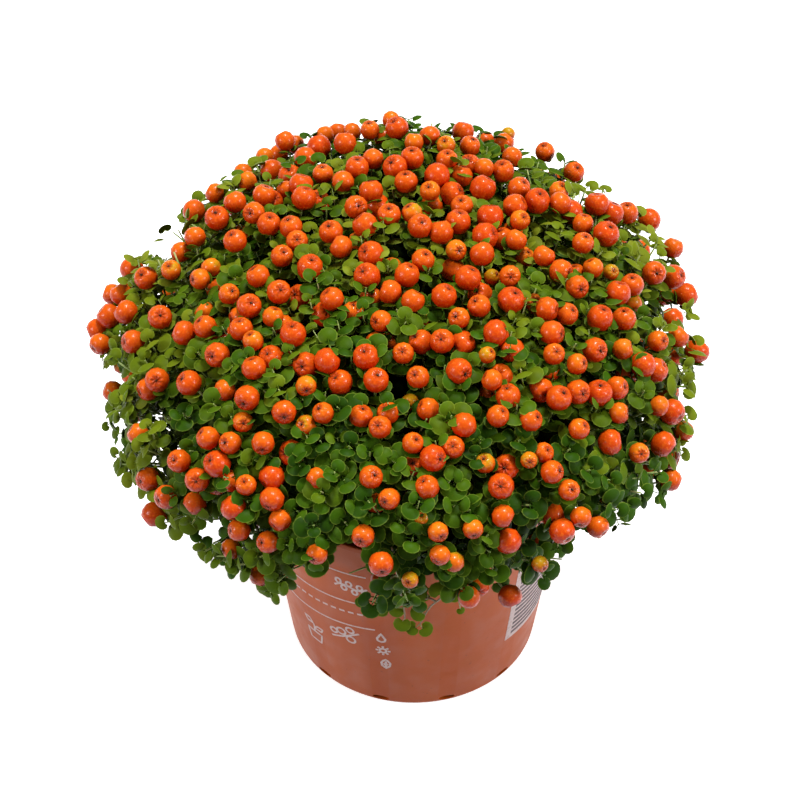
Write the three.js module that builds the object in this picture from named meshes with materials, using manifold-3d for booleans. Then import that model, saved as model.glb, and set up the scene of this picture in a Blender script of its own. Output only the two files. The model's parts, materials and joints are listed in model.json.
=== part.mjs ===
// A coral bead plant in a plastic nursery pot: a dome of small round leaves set with orange berries.
// Millimetres, +Z up. The origin is the middle of the pot's foot, and -Y faces the viewer.
import * as THREE from "three";
import { mergeVertices } from "three/addons/utils/BufferGeometryUtils.js";
import Module from "manifold-3d";

const wasm = await Module();
wasm.setup();

const degree = Math.PI / 180;
const up = new THREE.Vector3(0, 0, 1);
const clearance = 0.35; // between two pieces that touch
const smallest = 0.05; // detail finer than this is smoothed away where pieces are joined

// The pot is 12 cm across its rim and moulded in one piece.
const pot = {
  height: 95,
  rimRadius: 60,
  rimHeight: 2.5,
  rimStep: 0.9, // how far the rim stands out of the wall
  footRadius: 47.8,
  footRounding: 0.9,
  wall: 1.2,
  sides: 36,
  channelInside: 30, // the floor is raised between these radii, for drainage
  channelOutside: 41,
  channelRise: 1.5,
  slots: 12,
  slotWidth: 6,
  slotHeight: 2,
  slotLift: 0.2, // above the floor
};

// The root ball fills the pot up to a finger's width below the rim.
const soil = { top: 85, lump: 0.9, rings: 2, border: 3 };

// The plant is a dome, wider than the pot and a little off its middle.
const dome = {
  centre: new THREE.Vector3(-4.8, 0, 132),
  radius: 102.5,
  rise: 59, // from the centre to the top
  drop: 50, // from the centre to the lowest fringe
  squareness: 2.3,
  lobeWidth: 18, // degrees
};

// Tufts grow side by side in three rings. A swell is how far a tuft stands out of the dome.
const rings = [
  { name: "crown", polar: 0, first: 0, swells: [0.07], stalkRadius: 0 },
  { name: "upper", polar: 50, first: 90, swells: [0.08, 0.06, 0.06, 0.06, 0.06], stalkRadius: 17 },
  {
    name: "side",
    polar: 88,
    first: -91,
    swells: [0.08, 0.06, 0.03, 0.07, 0.08, 0.07, 0.03, 0.07, 0.05],
    stalkRadius: 41,
  },
];
const growthPoint = new THREE.Vector3(0, 0, 55); // every tuft's sector starts here
const stalk = { radius: 2.4, sides: 6, bottom: 75.5, top: 99 };
const core = { depth: 8.5, detail: 3 };

// A berry's facets lie across its true surface: the balls are 8.4 mm wide on average.
const berry = {
  radius: 4.5,
  sunk: 1, // into the core
  spacing: 25,
  bareFrom: 70, // degrees from the top, below which berries grow fewer
  bareShare: 0.45, // of the berries that are missing at the fringe
  tallShare: 0.04, // of the berries that stand on a stem, with a leaf pair
  tallest: 6, // how far such a berry stands out of the dome
  mostBent: 10, // how far it may be moved clear of a neighbouring tuft
};
// Leaves are more than twice life size, and far fewer, so that they cover the dome as the real ones do.
const leaf = {
  length: 17,
  width: 17,
  thickness: 0.7,
  notch: 0.12,
  droop: 0.08,
  corners: 6,
  sunk: 1, // into the core
  spacing: 18.5,
  tilt: 38, // degrees between a blade and the dome
  fringeTilt: 55, // the same at the lowest fringe
  spread: 18, // degrees that a leaf may turn from straight down the dome
  mostBent: 4, // how far one may be moved clear of a neighbouring tuft
};
const pairScale = 0.62; // of the leaves that grow in pairs on stems
const pairTilt = 18;
const stem = { radius: 0.9, sides: 3, sunk: 1.5 };
const fringePolar = 114; // degrees from the top, where the foliage ends
const ringGap = 0.85; // between rings of leaves or berries, as a share of their spacing
const jitter = 0.4; // how far they may lie from their even places, as a share of their spacing
const seeds = { berries: 34, leaves: 25 };

// Stems that hang over the rim, with leaf pairs along them.
const trails = [
  { azimuth: -93, start: 84, end: 66, top: 104, low: 63, pairs: 4, leafyShare: 0.6 },
  { azimuth: -103, start: 84, end: 69, top: 102, low: 80, pairs: 2, leafyShare: 0.6 },
  { azimuth: 140, start: 84, end: 70, top: 103, low: 78, pairs: 3, leafyShare: 0.6 },
];

const finishes = {
  pot: { color: 0x9c583a, roughness: 0.5, metalness: 0 },
  soil: { color: 0x2e2219, roughness: 0.95, metalness: 0 },
  foliage: { color: 0x5f7a1c, roughness: 0.6, metalness: 0 },
};

// Repeatable draws between 0 and 1.
function randomSource(start) {
  let state = start;
  return () => {
    state = (state * 16807) % 2147483647;
    return state / 2147483647;
  };
}

function direction(azimuth, polar) {
  const across = Math.sin(polar * degree);
  return new THREE.Vector3(
    across * Math.cos(azimuth * degree),
    across * Math.sin(azimuth * degree),
    Math.cos(polar * degree),
  );
}

// A geometry as a solid that can be joined and cut.
function solid(geometry) {
  const bare = geometry.clone();
  bare.deleteAttribute("normal");
  bare.deleteAttribute("uv");
  const merged = mergeVertices(bare, 1e-4);
  return new wasm.Manifold(
    new wasm.Mesh({
      numProp: 3,
      vertProperties: merged.attributes.position.array,
      triVerts: new Uint32Array(merged.index.array),
    }),
  );
}

// The largest body of a joined solid. Scraps, sealed hollows and slivers are left behind.
function mainBody(joined) {
  const bodies = joined.simplify(smallest).decompose();
  return bodies.reduce((best, body) => (body.volume() > best.volume() ? body : best));
}

function meshOf(name, body, finish) {
  const { vertProperties, triVerts } = body.getMesh();
  const geometry = new THREE.BufferGeometry();
  geometry.setAttribute("position", new THREE.BufferAttribute(vertProperties, 3));
  geometry.setIndex(new THREE.BufferAttribute(triVerts, 1));
  const material = new THREE.MeshStandardMaterial({ ...finish, flatShading: true });
  const mesh = new THREE.Mesh(geometry, material);
  mesh.name = name;
  return mesh;
}

// A profile of [radius, height] pairs, turned about +Z.
function turned(profile, sides) {
  const points = profile.map(([radius, height]) => new THREE.Vector2(radius, height));
  return new THREE.LatheGeometry(points, sides).rotateX(Math.PI / 2);
}

// A prism that stands on the XY plane.
function prism(radius, height, sides) {
  return new THREE.CylinderGeometry(radius, radius, height, sides)
    .rotateX(Math.PI / 2)
    .translate(0, 0, height / 2);
}

// The wall's outer radius at a height.
function wallRadius(height) {
  const top = pot.rimRadius - pot.rimStep;
  return pot.footRadius + ((top - pot.footRadius) * height) / (pot.height - pot.rimHeight);
}

function makePot() {
  const { height, rimRadius, rimHeight, footRadius, footRounding, wall } = pot;
  const { channelInside, channelOutside, channelRise } = pot;
  const rimBase = height - rimHeight;
  const lip = wall / 3;
  const shell = turned(
    [
      [0, 0],
      [channelInside, 0],
      [channelInside + channelRise, channelRise],
      [channelOutside - channelRise, channelRise],
      [channelOutside, 0],
      [footRadius - footRounding, 0],
      [footRadius, footRounding],
      [wallRadius(rimBase), rimBase],
      [rimRadius, rimBase],
      [rimRadius, height],
      [wallRadius(rimBase) - wall, height],
      [wallRadius(wall) - wall, wall],
      [channelOutside + lip, wall],
      [channelOutside - channelRise + lip, wall + channelRise],
      [channelInside + channelRise - lip, wall + channelRise],
      [channelInside - lip, wall],
      [0, wall],
    ],
    pot.sides,
  );
  let body = solid(shell);
  for (let i = 0; i < pot.slots; i++) {
    const slot = new THREE.BoxGeometry(4 * wall, pot.slotWidth, pot.slotHeight);
    slot.translate(footRadius - wall / 2, 0, wall + pot.slotLift + pot.slotHeight / 2);
    slot.rotateZ(((i + 0.5) * 2 * Math.PI) / pot.slots);
    body = body.subtract(solid(slot));
  }
  return meshOf("pot", body, finishes.pot);
}

// The root ball: it stands on the raised ring of the floor, and its top is gently uneven.
function makeSoil() {
  const bottom = pot.wall + pot.channelRise + clearance;
  const side = (height) => wallRadius(height) - pot.wall - 2 * clearance;
  const profile = [
    [0, bottom],
    [side(bottom), bottom],
    [side(soil.top), soil.top],
  ];
  for (let ring = soil.rings; ring >= 0; ring--) {
    profile.push([((side(soil.top) - soil.border) * ring) / soil.rings, soil.top]);
  }
  const ball = turned(profile, pot.sides);
  const position = ball.attributes.position;
  for (let i = 0; i < position.count; i++) {
    const x = position.getX(i);
    const y = position.getY(i);
    const isTop = position.getZ(i) > soil.top - clearance;
    const bump = Math.sin(x / 6) * Math.cos(y / 7) + Math.sin((x + y) / 11);
    if (isTop) position.setZ(i, soil.top + soil.lump * bump);
  }
  let body = solid(ball);
  for (const tuft of tufts) {
    const hole = prism(stalk.radius + clearance, soil.top, stalk.sides);
    hole.translate(tuft.foot.x, tuft.foot.y, stalk.bottom - clearance);
    body = body.subtract(solid(hole));
  }
  return meshOf("soil", mainBody(body), finishes.soil);
}

// The dome's distance from its centre in a direction, with the lobes that the tufts make.
function domeReach(toward) {
  const across = Math.hypot(toward.x, toward.y) / dome.radius;
  const upright = Math.abs(toward.z) / (toward.z > 0 ? dome.rise : dome.drop);
  const power = dome.squareness;
  const plain = (across ** power + upright ** power) ** (-1 / power);
  const lobes = tufts.map((tuft) => {
    const away = tuft.toward.angleTo(toward) / (dome.lobeWidth * degree);
    return tuft.swell * Math.exp(-away * away);
  });
  return plain * (1 + lobes.reduce((sum, lobe) => sum + lobe, 0));
}

// A point of the dome, or one that stands out of it by a height.
function domePoint(toward, height = 0) {
  return toward.clone().multiplyScalar(domeReach(toward) + height).add(dome.centre);
}

// The dome's outward normal, from three of its points that lie close together.
function domeNormal(toward) {
  const step = 2 * degree;
  const sideways = new THREE.Vector3(-toward.y, toward.x, 0);
  if (sideways.length() < step) sideways.set(0, 1, 0);
  sideways.normalize();
  const upward = new THREE.Vector3().crossVectors(toward, sideways);
  const [here, beside, above] = [new THREE.Vector3(), sideways, upward].map((offset) =>
    domePoint(toward.clone().addScaledVector(offset, step).normalize()),
  );
  return beside.sub(here).cross(above.sub(here)).normalize();
}

// Every tuft's name, the direction it grows in and its stalk's foot.
function planTufts() {
  return rings.flatMap((ring) =>
    ring.swells.map((swell, i) => {
      const azimuth = ring.first + (i * 360) / ring.swells.length;
      const number = ring.swells.length > 1 ? "_" + (i + 1) : "";
      return {
        name: "tuft_" + ring.name + number,
        swell,
        toward: direction(azimuth, ring.polar),
        foot: direction(azimuth, 90).multiplyScalar(ring.stalkRadius),
      };
    }),
  );
}

// Gives each tuft the planes that part it from the others. They all pass near the growth point.
function partTufts() {
  for (const tuft of tufts) tuft.axis = domePoint(tuft.toward).sub(growthPoint).normalize();
  for (const tuft of tufts) {
    const others = tufts.filter((other) => other !== tuft);
    tuft.sector = others.map((other) => {
      const normal = other.axis.clone().sub(tuft.axis).normalize();
      const onPlane = growthPoint.clone().addScaledVector(normal, -clearance / 2);
      return new THREE.Plane().setFromNormalAndCoplanarPoint(normal, onPlane);
    });
  }
}

function tuftAt(point) {
  const ray = point.clone().sub(growthPoint).normalize();
  return tufts.reduce((best, tuft) => (tuft.axis.dot(ray) > best.axis.dot(ray) ? tuft : best));
}

// The inside of the dome, which the leaves and berries stand out of.
function makeCore() {
  const form = new THREE.IcosahedronGeometry(1, core.detail);
  const position = form.attributes.position;
  const toward = new THREE.Vector3();
  for (let i = 0; i < position.count; i++) {
    toward.fromBufferAttribute(position, i).normalize();
    const point = domePoint(toward, -core.depth);
    position.setXYZ(i, point.x, point.y, point.z);
  }
  return new THREE.Mesh(form, new THREE.MeshBasicMaterial({ side: THREE.BackSide }));
}

// A point a little above or below the core's faceted surface, along the dome's normal.
function corePoint(toward, height) {
  const [hit] = new THREE.Raycaster(dome.centre, toward).intersectObject(coreForm);
  return hit.point.addScaledVector(domeNormal(toward), height);
}

// Directions in rings from the dome's top down to its fringe, each moved a little at random.
function scatter(spacing, random) {
  const spots = [];
  const nextRing = (polar) => {
    const here = domePoint(direction(0, polar));
    const degreeLower = domePoint(direction(0, polar + 1));
    return polar + (ringGap * spacing) / here.distanceTo(degreeLower);
  };
  for (let polar = 0; polar < fringePolar; polar = nextRing(polar)) {
    const span = 2 * Math.PI * domeReach(direction(0, polar)) * Math.sin(polar * degree);
    const count = Math.max(1, Math.round(span / spacing));
    const first = 360 * random();
    for (let i = 0; i < count; i++) {
      const azimuth = first + (360 * (i + jitter * (random() - 0.5))) / count;
      const lowered = polar + jitter * (random() - 0.5) * (nextRing(polar) - polar);
      const toward = direction(azimuth, Math.abs(lowered));
      spots.push({ toward, point: domePoint(toward), polar });
    }
  }
  return spots;
}

// A round blade that grows along +Y from a notch at the origin, faces +Z and droops at its edge.
function makeBlade(scale) {
  const { thickness, notch, droop, corners } = leaf;
  const length = scale * leaf.length;
  const width = scale * leaf.width;
  const positions = [];
  for (const face of [thickness / 2, -thickness / 2]) {
    for (let i = 0; i < corners; i++) {
      const turn = (2 * Math.PI * i) / corners;
      const x = (width / 2) * Math.sin(turn);
      const y = (length / 2) * (1 - Math.cos(turn)) + (i === 0 ? notch * length : 0);
      const bend = droop * width * (((2 * x) / width) ** 2 + (y / length) ** 2);
      positions.push(x, y, face - bend);
    }
  }
  const faces = [];
  for (let i = 1; i < corners - 1; i++) {
    faces.push(0, i, i + 1);
    faces.push(corners, corners + i + 1, corners + i);
  }
  for (let i = 0; i < corners; i++) {
    const next = (i + 1) % corners;
    faces.push(i, corners + i, next);
    faces.push(next, corners + i, corners + next);
  }
  const geometry = new THREE.BufferGeometry();
  geometry.setAttribute("position", new THREE.Float32BufferAttribute(positions, 3));
  geometry.setIndex(faces);
  return geometry;
}

// A blade with its root at a point. It grows in one direction and faces another.
function bladeAt(root, along, facing, scale) {
  const across = new THREE.Vector3().crossVectors(along, facing).normalize();
  const normal = new THREE.Vector3().crossVectors(across, along).normalize();
  const place = new THREE.Matrix4().makeBasis(across, along.clone().normalize(), normal);
  return makeBlade(scale).applyMatrix4(place.setPosition(root));
}

// The direction along a surface, raised from it by an angle.
function raised(sideways, outward, tilt) {
  const along = sideways.clone().multiplyScalar(Math.cos(tilt * degree));
  return along.addScaledVector(outward, Math.sin(tilt * degree));
}

// How far pieces have to move to lie in their own tuft's sector.
function shiftClear(geometries, sector) {
  const vertex = new THREE.Vector3();
  const shift = new THREE.Vector3();
  for (const plane of [...sector, ...sector]) {
    let over = 0;
    for (const { attributes } of geometries) {
      for (let i = 0; i < attributes.position.count; i++) {
        vertex.fromBufferAttribute(attributes.position, i).add(shift);
        over = Math.max(over, plane.distanceToPoint(vertex));
      }
    }
    shift.addScaledVector(plane.normal, -over);
  }
  return shift;
}

// Grows pieces in a direction. Where they would cross a neighbouring tuft, they are bent clear.
// Where that would crowd them onto their own tuft's pieces, they are left out.
function growClear(grow, toward, tuft, mostBent) {
  const rounds = 4;
  let at = toward;
  for (let i = 0; i < rounds; i++) {
    const shift = shiftClear(grow(at), tuft.sector);
    at = domePoint(at).add(shift).sub(dome.centre).normalize();
  }
  if (domePoint(at).distanceTo(domePoint(toward)) > mostBent) return [];
  const grown = grow(at);
  const rest = shiftClear(grown, tuft.sector);
  return grown.map((piece) => piece.translate(rest.x, rest.y, rest.z));
}

function ballAt(centre) {
  return new THREE.IcosahedronGeometry(berry.radius, 0).translate(centre.x, centre.y, centre.z);
}

function lowBerry(toward) {
  return [ballAt(corePoint(toward, berry.radius - berry.sunk))];
}

// A berry on a stem, with a leaf pair close under it.
function tallBerry(toward, sideways, stand) {
  const outward = domeNormal(toward);
  const foot = corePoint(toward, -stem.sunk);
  const centre = corePoint(toward, core.depth + stand - berry.radius);
  const turn = new THREE.Quaternion().setFromUnitVectors(up, outward);
  const rod = prism(stem.radius, foot.distanceTo(centre), stem.sides).applyQuaternion(turn);
  rod.translate(foot.x, foot.y, foot.z);
  const node = centre.clone().addScaledVector(outward, -1.1 * berry.radius);
  return [ballAt(centre), rod, ...leafPair(node, sideways, outward, pairTilt)];
}

// Two leaves that grow to opposite sides of a stem.
function leafPair(node, sideways, facing, tilt) {
  return [1, -1].map((side) => {
    const away = sideways.clone().multiplyScalar(side);
    const root = node.clone().addScaledVector(away, -stem.radius);
    return bladeAt(root, raised(away, facing, tilt), facing, pairScale);
  });
}

// A leaf on the core that points down the dome, more or less, and stands out more at the fringe.
function coreLeaf(toward, turn) {
  const root = corePoint(toward, -leaf.sunk);
  const outward = domeNormal(toward);
  const downhill = outward.clone().multiplyScalar(outward.z).sub(up).normalize();
  const sideways = downhill.applyAxisAngle(outward, turn * degree);
  const low = Math.max(0, (toward.angleTo(up) / degree - 80) / (fringePolar - 80));
  const tilt = leaf.tilt + (leaf.fringeTilt - leaf.tilt) * low;
  return [bladeAt(root, raised(sideways, outward, tilt), outward, 1)];
}

// A stem that arches out of the core and hangs in front of the pot, with its leaf pairs.
function growTrail(trail, tuft) {
  const outward = direction(trail.azimuth, 90);
  const sideways = new THREE.Vector3().crossVectors(up, outward);
  const at = (radius, height) => outward.clone().multiplyScalar(radius).setZ(height);
  const route = new THREE.CatmullRomCurve3([
    at(trail.start - 2 * core.depth, trail.top),
    at(trail.start, trail.top - stem.radius),
    at((trail.start + trail.end) / 2, (trail.top + trail.low) / 2),
    at(trail.end, trail.low),
  ]);
  const corners = [0, 120, 240].map((turn) => {
    return new THREE.Vector2(Math.cos(turn * degree), Math.sin(turn * degree));
  });
  const section = new THREE.Shape(corners.map((corner) => corner.multiplyScalar(stem.radius)));
  const rod = new THREE.ExtrudeGeometry(section, { steps: 5, extrudePath: route });
  const leaves = [];
  for (let i = 0; i < trail.pairs; i++) {
    const node = route.getPointAt(1 - (trail.leafyShare * i) / trail.pairs);
    const turned = sideways.clone().applyAxisAngle(outward, (i % 2 ? 35 : -35) * degree);
    leaves.push(...leafPair(node, turned, outward, pairTilt));
  }
  const pieces = [rod, ...leaves];
  const shift = shiftClear(pieces, tuft.sector);
  return pieces.map((piece) => piece.translate(shift.x, shift.y, shift.z));
}

// Everything that stands out of the core, sorted by tuft.
function growFoliage() {
  const growth = new Map(tufts.map((tuft) => [tuft, []]));
  const random = randomSource(seeds.berries);
  for (const { toward, point, polar } of scatter(berry.spacing, random)) {
    const tuft = tuftAt(point);
    const low = Math.max(0, (polar - berry.bareFrom) / (fringePolar - berry.bareFrom));
    const isBare = random() < berry.bareShare * low;
    const isTall = random() < berry.tallShare;
    const stand = berry.tallest * random();
    const away = direction(360 * random(), 90);
    const sideways = away.cross(toward).normalize();
    const grow = isTall ? (at) => tallBerry(at, sideways, stand) : lowBerry;
    if (!isBare) growth.get(tuft).push(...growClear(grow, toward, tuft, berry.mostBent));
  }
  const randomLeaf = randomSource(seeds.leaves);
  for (const { toward, point } of scatter(leaf.spacing, randomLeaf)) {
    const tuft = tuftAt(point);
    const turn = leaf.spread * (2 * randomLeaf() - 1);
    growth.get(tuft).push(...growClear((at) => coreLeaf(at, turn), toward, tuft, leaf.mostBent));
  }
  for (const trail of trails) {
    const tuft = tuftAt(direction(trail.azimuth, 90).multiplyScalar(trail.start).setZ(trail.top));
    growth.get(tuft).push(...growTrail(trail, tuft));
  }
  return growth;
}

// What lies on the near side of a plane.
function nearSide(body, plane) {
  const size = 4 * dome.radius;
  const box = new THREE.BoxGeometry(size, size, size).translate(0, 0, size / 2);
  const turn = new THREE.Quaternion().setFromUnitVectors(up, plane.normal);
  const onPlane = plane.projectPoint(growthPoint, new THREE.Vector3());
  box.applyQuaternion(turn).translate(onPlane.x, onPlane.y, onPlane.z);
  return body.subtract(solid(box));
}

// One tuft: its sector of the core, with its foliage, kept off the pot, and its stalk in the soil.
function makeTuft(tuft, growth, wholeCore, potSpace) {
  let body = wholeCore;
  for (const plane of tuft.sector) body = nearSide(body, plane);
  for (const piece of growth) body = body.add(solid(piece));
  body = mainBody(body.subtract(potSpace));
  const foot = prism(stalk.radius, stalk.top - stalk.bottom, stalk.sides);
  foot.translate(tuft.foot.x, tuft.foot.y, stalk.bottom);
  return meshOf(tuft.name, mainBody(body.add(solid(foot))), finishes.foliage);
}

function makePlant() {
  const foliage = growFoliage();
  const wholeCore = solid(coreForm.geometry);
  const potSpace = solid(prism(pot.rimRadius + clearance, pot.height + clearance, pot.sides));
  const plant = new THREE.Group();
  for (const tuft of tufts) plant.add(makeTuft(tuft, foliage.get(tuft), wholeCore, potSpace));
  return plant;
}

const tufts = planTufts();
const coreForm = makeCore();
partTufts();

const pottedPlant = new THREE.Group();
pottedPlant.add(makePot(), makeSoil(), makePlant());
export default pottedPlant;
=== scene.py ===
import json
import math
import random

import bmesh
import bpy
from mathutils import Matrix, Vector, noise

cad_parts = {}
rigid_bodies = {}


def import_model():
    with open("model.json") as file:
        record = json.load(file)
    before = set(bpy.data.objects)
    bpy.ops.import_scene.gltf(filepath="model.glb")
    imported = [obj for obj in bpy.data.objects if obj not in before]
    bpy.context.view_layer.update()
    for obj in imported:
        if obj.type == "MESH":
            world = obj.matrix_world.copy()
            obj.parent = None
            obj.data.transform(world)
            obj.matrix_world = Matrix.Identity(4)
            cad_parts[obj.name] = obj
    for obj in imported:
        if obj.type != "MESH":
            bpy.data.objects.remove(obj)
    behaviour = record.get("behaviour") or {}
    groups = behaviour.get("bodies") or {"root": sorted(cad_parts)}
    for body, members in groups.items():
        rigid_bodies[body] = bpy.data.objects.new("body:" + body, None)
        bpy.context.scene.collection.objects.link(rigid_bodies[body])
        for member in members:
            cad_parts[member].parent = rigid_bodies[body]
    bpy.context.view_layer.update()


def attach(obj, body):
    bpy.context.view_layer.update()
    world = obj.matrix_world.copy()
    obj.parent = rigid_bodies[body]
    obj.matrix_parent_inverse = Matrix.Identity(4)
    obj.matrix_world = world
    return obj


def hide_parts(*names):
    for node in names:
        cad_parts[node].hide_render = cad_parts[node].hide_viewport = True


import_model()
mm = 0.001
print("frame loaded")


def hexColour(text):
    # sRGB hex to the linear RGBA that the shaders work in
    channels = [int(text[i:i + 2], 16) / 255 for i in (0, 2, 4)]
    linear = [c / 12.92 if c <= 0.04045 else ((c + 0.055) / 1.055) ** 2.4 for c in channels]
    return (*linear, 1.0)


def fill(tree, node, inputs):
    for key, value in inputs.items():
        if isinstance(value, bpy.types.NodeSocket):
            tree.links.new(value, node.inputs[key])
        else:
            node.inputs[key].default_value = value


def addNode(tree, kind, inputs=None, stops=(), **settings):
    # a node with its settings, its colour stops and its inputs, each a value or another node's output
    node = tree.nodes.new(kind)
    for name, value in settings.items():
        setattr(node, name, value)
    for position, colour in stops[2:]:
        node.color_ramp.elements.new(position)
    for i, (position, colour) in enumerate(stops):
        node.color_ramp.elements[i].position = position
        node.color_ramp.elements[i].color = hexColour(colour)
    fill(tree, node, inputs or {})
    return node


def newMaterial(name):
    # a material with its shader, and the place on the object that its patterns go by
    material = bpy.data.materials.new(name)
    material.use_nodes = True
    tree = material.node_tree
    tree.nodes.clear()
    shader = addNode(tree, "ShaderNodeBsdfPrincipled")
    addNode(tree, "ShaderNodeOutputMaterial", {"Surface": shader.outputs[0]})
    place = addNode(tree, "ShaderNodeTexCoord").outputs["Object"]
    return material, tree, shader, place


def meshObject(name, vertices, faces):
    mesh = bpy.data.meshes.new(name)
    mesh.from_pydata([Vector(v) * mm for v in vertices], [], faces)
    mesh.validate()
    piece = bpy.data.objects.new(name, mesh)
    bpy.context.collection.objects.link(piece)
    return piece


def applied(piece):
    # the evaluated result as a plain mesh, with the modifiers gone
    bpy.context.view_layer.update()
    graph = bpy.context.evaluated_depsgraph_get()
    result = bpy.data.meshes.new_from_object(
        piece.evaluated_get(graph), preserve_all_data_layers=True, depsgraph=graph)
    piece.modifiers.clear()
    piece.data = result
    return piece


def grow(piece, tree, **values):
    # adds a Geometry Nodes modifier and sets its inputs by their sockets' identifiers
    modifier = piece.modifiers.new(tree.name, "NODES")
    modifier.node_group = tree
    for name, value in values.items():
        modifier[tree.interface.items_tree[name].identifier] = value
    return modifier


def newTree(name, sockets):
    # a tree that gives a geometry, with its named inputs
    tree = bpy.data.node_groups.new(name, "GeometryNodeTree")
    tree.interface.new_socket("Geometry", in_out="OUTPUT", socket_type="NodeSocketGeometry")
    for socketName, kind, value in sockets:
        socket = tree.interface.new_socket(socketName, in_out="INPUT", socket_type="NodeSocket" + kind)
        if value is not None:
            socket.default_value = value
    return tree, addNode(tree, "NodeGroupInput").outputs


def smooth(piece):
    for polygon in piece.data.polygons:
        polygon.use_smooth = True
    return piece


# The photograph's camera: a long lens that looks down at the plant. All in millimetres and degrees; the
# aim's small step to the left puts the pot right of the frame's middle.
view = {
    "aim": Vector((-5.2, 1.46, 111.59)), "distance": 750, "elevation": 42.5,
    "lens": 93.5, "sensor": 36, "pixels": 800,
}
# A line of sight is followed between two shares of the camera's distance, in steps of at least so many mm.
sightForm = {"from": 0.7, "to": 1.25, "leastStep": 0.2}
viewTilt = math.radians(view["elevation"])
towardEye = Vector((0, -math.cos(viewTilt), math.sin(viewTilt)))
upInView = Vector((0, math.sin(viewTilt), math.cos(viewTilt)))
rightInView = Vector((1, 0, 0))
eye = view["aim"] + towardEye * view["distance"]
focal = view["lens"] / view["sensor"] * view["pixels"]


def seenAt(point):
    # the pixel of the photograph that shows a point
    offset = point - eye
    scale = focal / -offset.dot(towardEye)
    middle = view["pixels"] / 2
    return middle + offset.dot(rightInView) * scale, middle - offset.dot(upInView) * scale


def sighted(x, y, over, height):
    # where the line of sight through a pixel comes down to a height over a surface, or else where it passes
    # nearest; "over" tells how far a point is from that surface
    across, down = x - view["pixels"] / 2, y - view["pixels"] / 2
    ahead = (rightInView * across - upInView * down - towardEye * focal).normalized()
    distance, nearest = sightForm["from"] * view["distance"], (math.inf, eye)
    while distance < sightForm["to"] * view["distance"] and nearest[0] > 0:
        point = eye + ahead * distance
        gap = over(point) - height
        nearest = min(nearest, (gap, point), key=lambda found: found[0])
        distance += max(gap / 2, sightForm["leastStep"])
    return nearest[1]


# The dome that all tufts make up together, as the solids have it, in mm. Each tuft swells it by a share at
# its own place, given in degrees round and down from the top.
dome = {
    "centre": Vector((-4.8, 0, 132)), "radius": 102.5, "rise": 59, "drop": 50, "squareness": 2.3,
    "lobeWidth": 18,
}
tuftRings = [
    {"name": "crown", "polar": 0, "first": 0, "swells": [0.07], "stalkRadius": 0},
    {"name": "upper", "polar": 50, "first": 90, "swells": [0.08, 0.06, 0.06, 0.06, 0.06], "stalkRadius": 17},
    {"name": "side", "polar": 88, "first": -91, "stalkRadius": 41,
     "swells": [0.08, 0.06, 0.03, 0.07, 0.08, 0.07, 0.03, 0.07, 0.05]},
]
# The tufts spread from here, so it tells which tuft a point belongs to.
growthPoint = Vector((0, 0, 55))


def direction(azimuth, polar):
    a, p = math.radians(azimuth), math.radians(polar)
    return Vector((math.sin(p) * math.cos(a), math.sin(p) * math.sin(a), math.cos(p)))


tufts = []
for ring in tuftRings:
    for i, swell in enumerate(ring["swells"]):
        azimuth = ring["first"] + i * 360 / len(ring["swells"])
        number = f"_{i + 1}" if len(ring["swells"]) > 1 else ""
        toward, foot = direction(azimuth, ring["polar"]), direction(azimuth, 90) * ring["stalkRadius"]
        tufts.append({"name": ring["name"] + number, "swell": swell, "toward": toward, "foot": foot})


def domeReach(toward):
    # how far the dome is from its centre, in one direction
    across = math.hypot(toward.x, toward.y) / dome["radius"]
    upright = abs(toward.z) / (dome["rise"] if toward.z > 0 else dome["drop"])
    plain = (across ** dome["squareness"] + upright ** dome["squareness"]) ** (-1 / dome["squareness"])
    width = math.radians(dome["lobeWidth"])
    lobes = 0
    for tuft in tufts:
        away = math.acos(max(-1, min(1, tuft["toward"].dot(toward)))) / width
        lobes += tuft["swell"] * math.exp(-away * away)
    return plain * (1 + lobes)


def domePoint(toward, height=0):
    return toward * (domeReach(toward) + height) + dome["centre"]


for tuft in tufts:
    tuft["axis"] = (domePoint(tuft["toward"]) - growthPoint).normalized()


def tuftIndex(point):
    ray = (point - growthPoint).normalized()
    return max(range(len(tufts)), key=lambda i: tufts[i]["axis"].dot(ray))


# Where the outline falls back between its shoots: azimuth and polar angle, depth in mm, width in degrees.
hollows = [
    (164, 63, 6, 8), (-163, 88, 7, 8), (-56, 93, 8, 10), (2, 82, 5, 6), (-15, 88, 5, 6), (-127, 95, 4, 6),
    (-44, 95, 5, 7), (95, 88, 5, 9), (60, 92, 5, 8), (130, 90, 5, 9), (-88, 60, 2, 9), (20, 40, 3, 9),
    (-140, 45, 3, 9), (-168, 84, 6, 6), (-5, 76, 5, 6), (-21, 80, 5, 6), (26, 55, 3, 7), (-66, 96, 4, 5),
    (-59, 89, 4, 5), (-125, 88, 4, 5), (166, 62, 9, 9), (166, 66, 4, 6), (-167, 81, 4, 6), (-126, 94, 4, 6),
    (-62, 94, 5, 6), (-3, 76, 4, 6),
]
# Where it is thin enough to see its stems against the light: azimuth, polar angle and width in degrees.
thinSpots = [(172, 62, 9), (24, 68, 9), (6, 80, 7), (-150, 84, 7), (-40, 96, 8)]
# Where nothing hangs over the rim, so that the pot shows: pixel and radius in pixels.
bareSpots = [
    (348, 557, 34), (362, 588, 20), (322, 592, 20), (298, 598, 20), (487, 592, 20), (516, 580, 14),
    (448, 592, 14),
]
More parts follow.
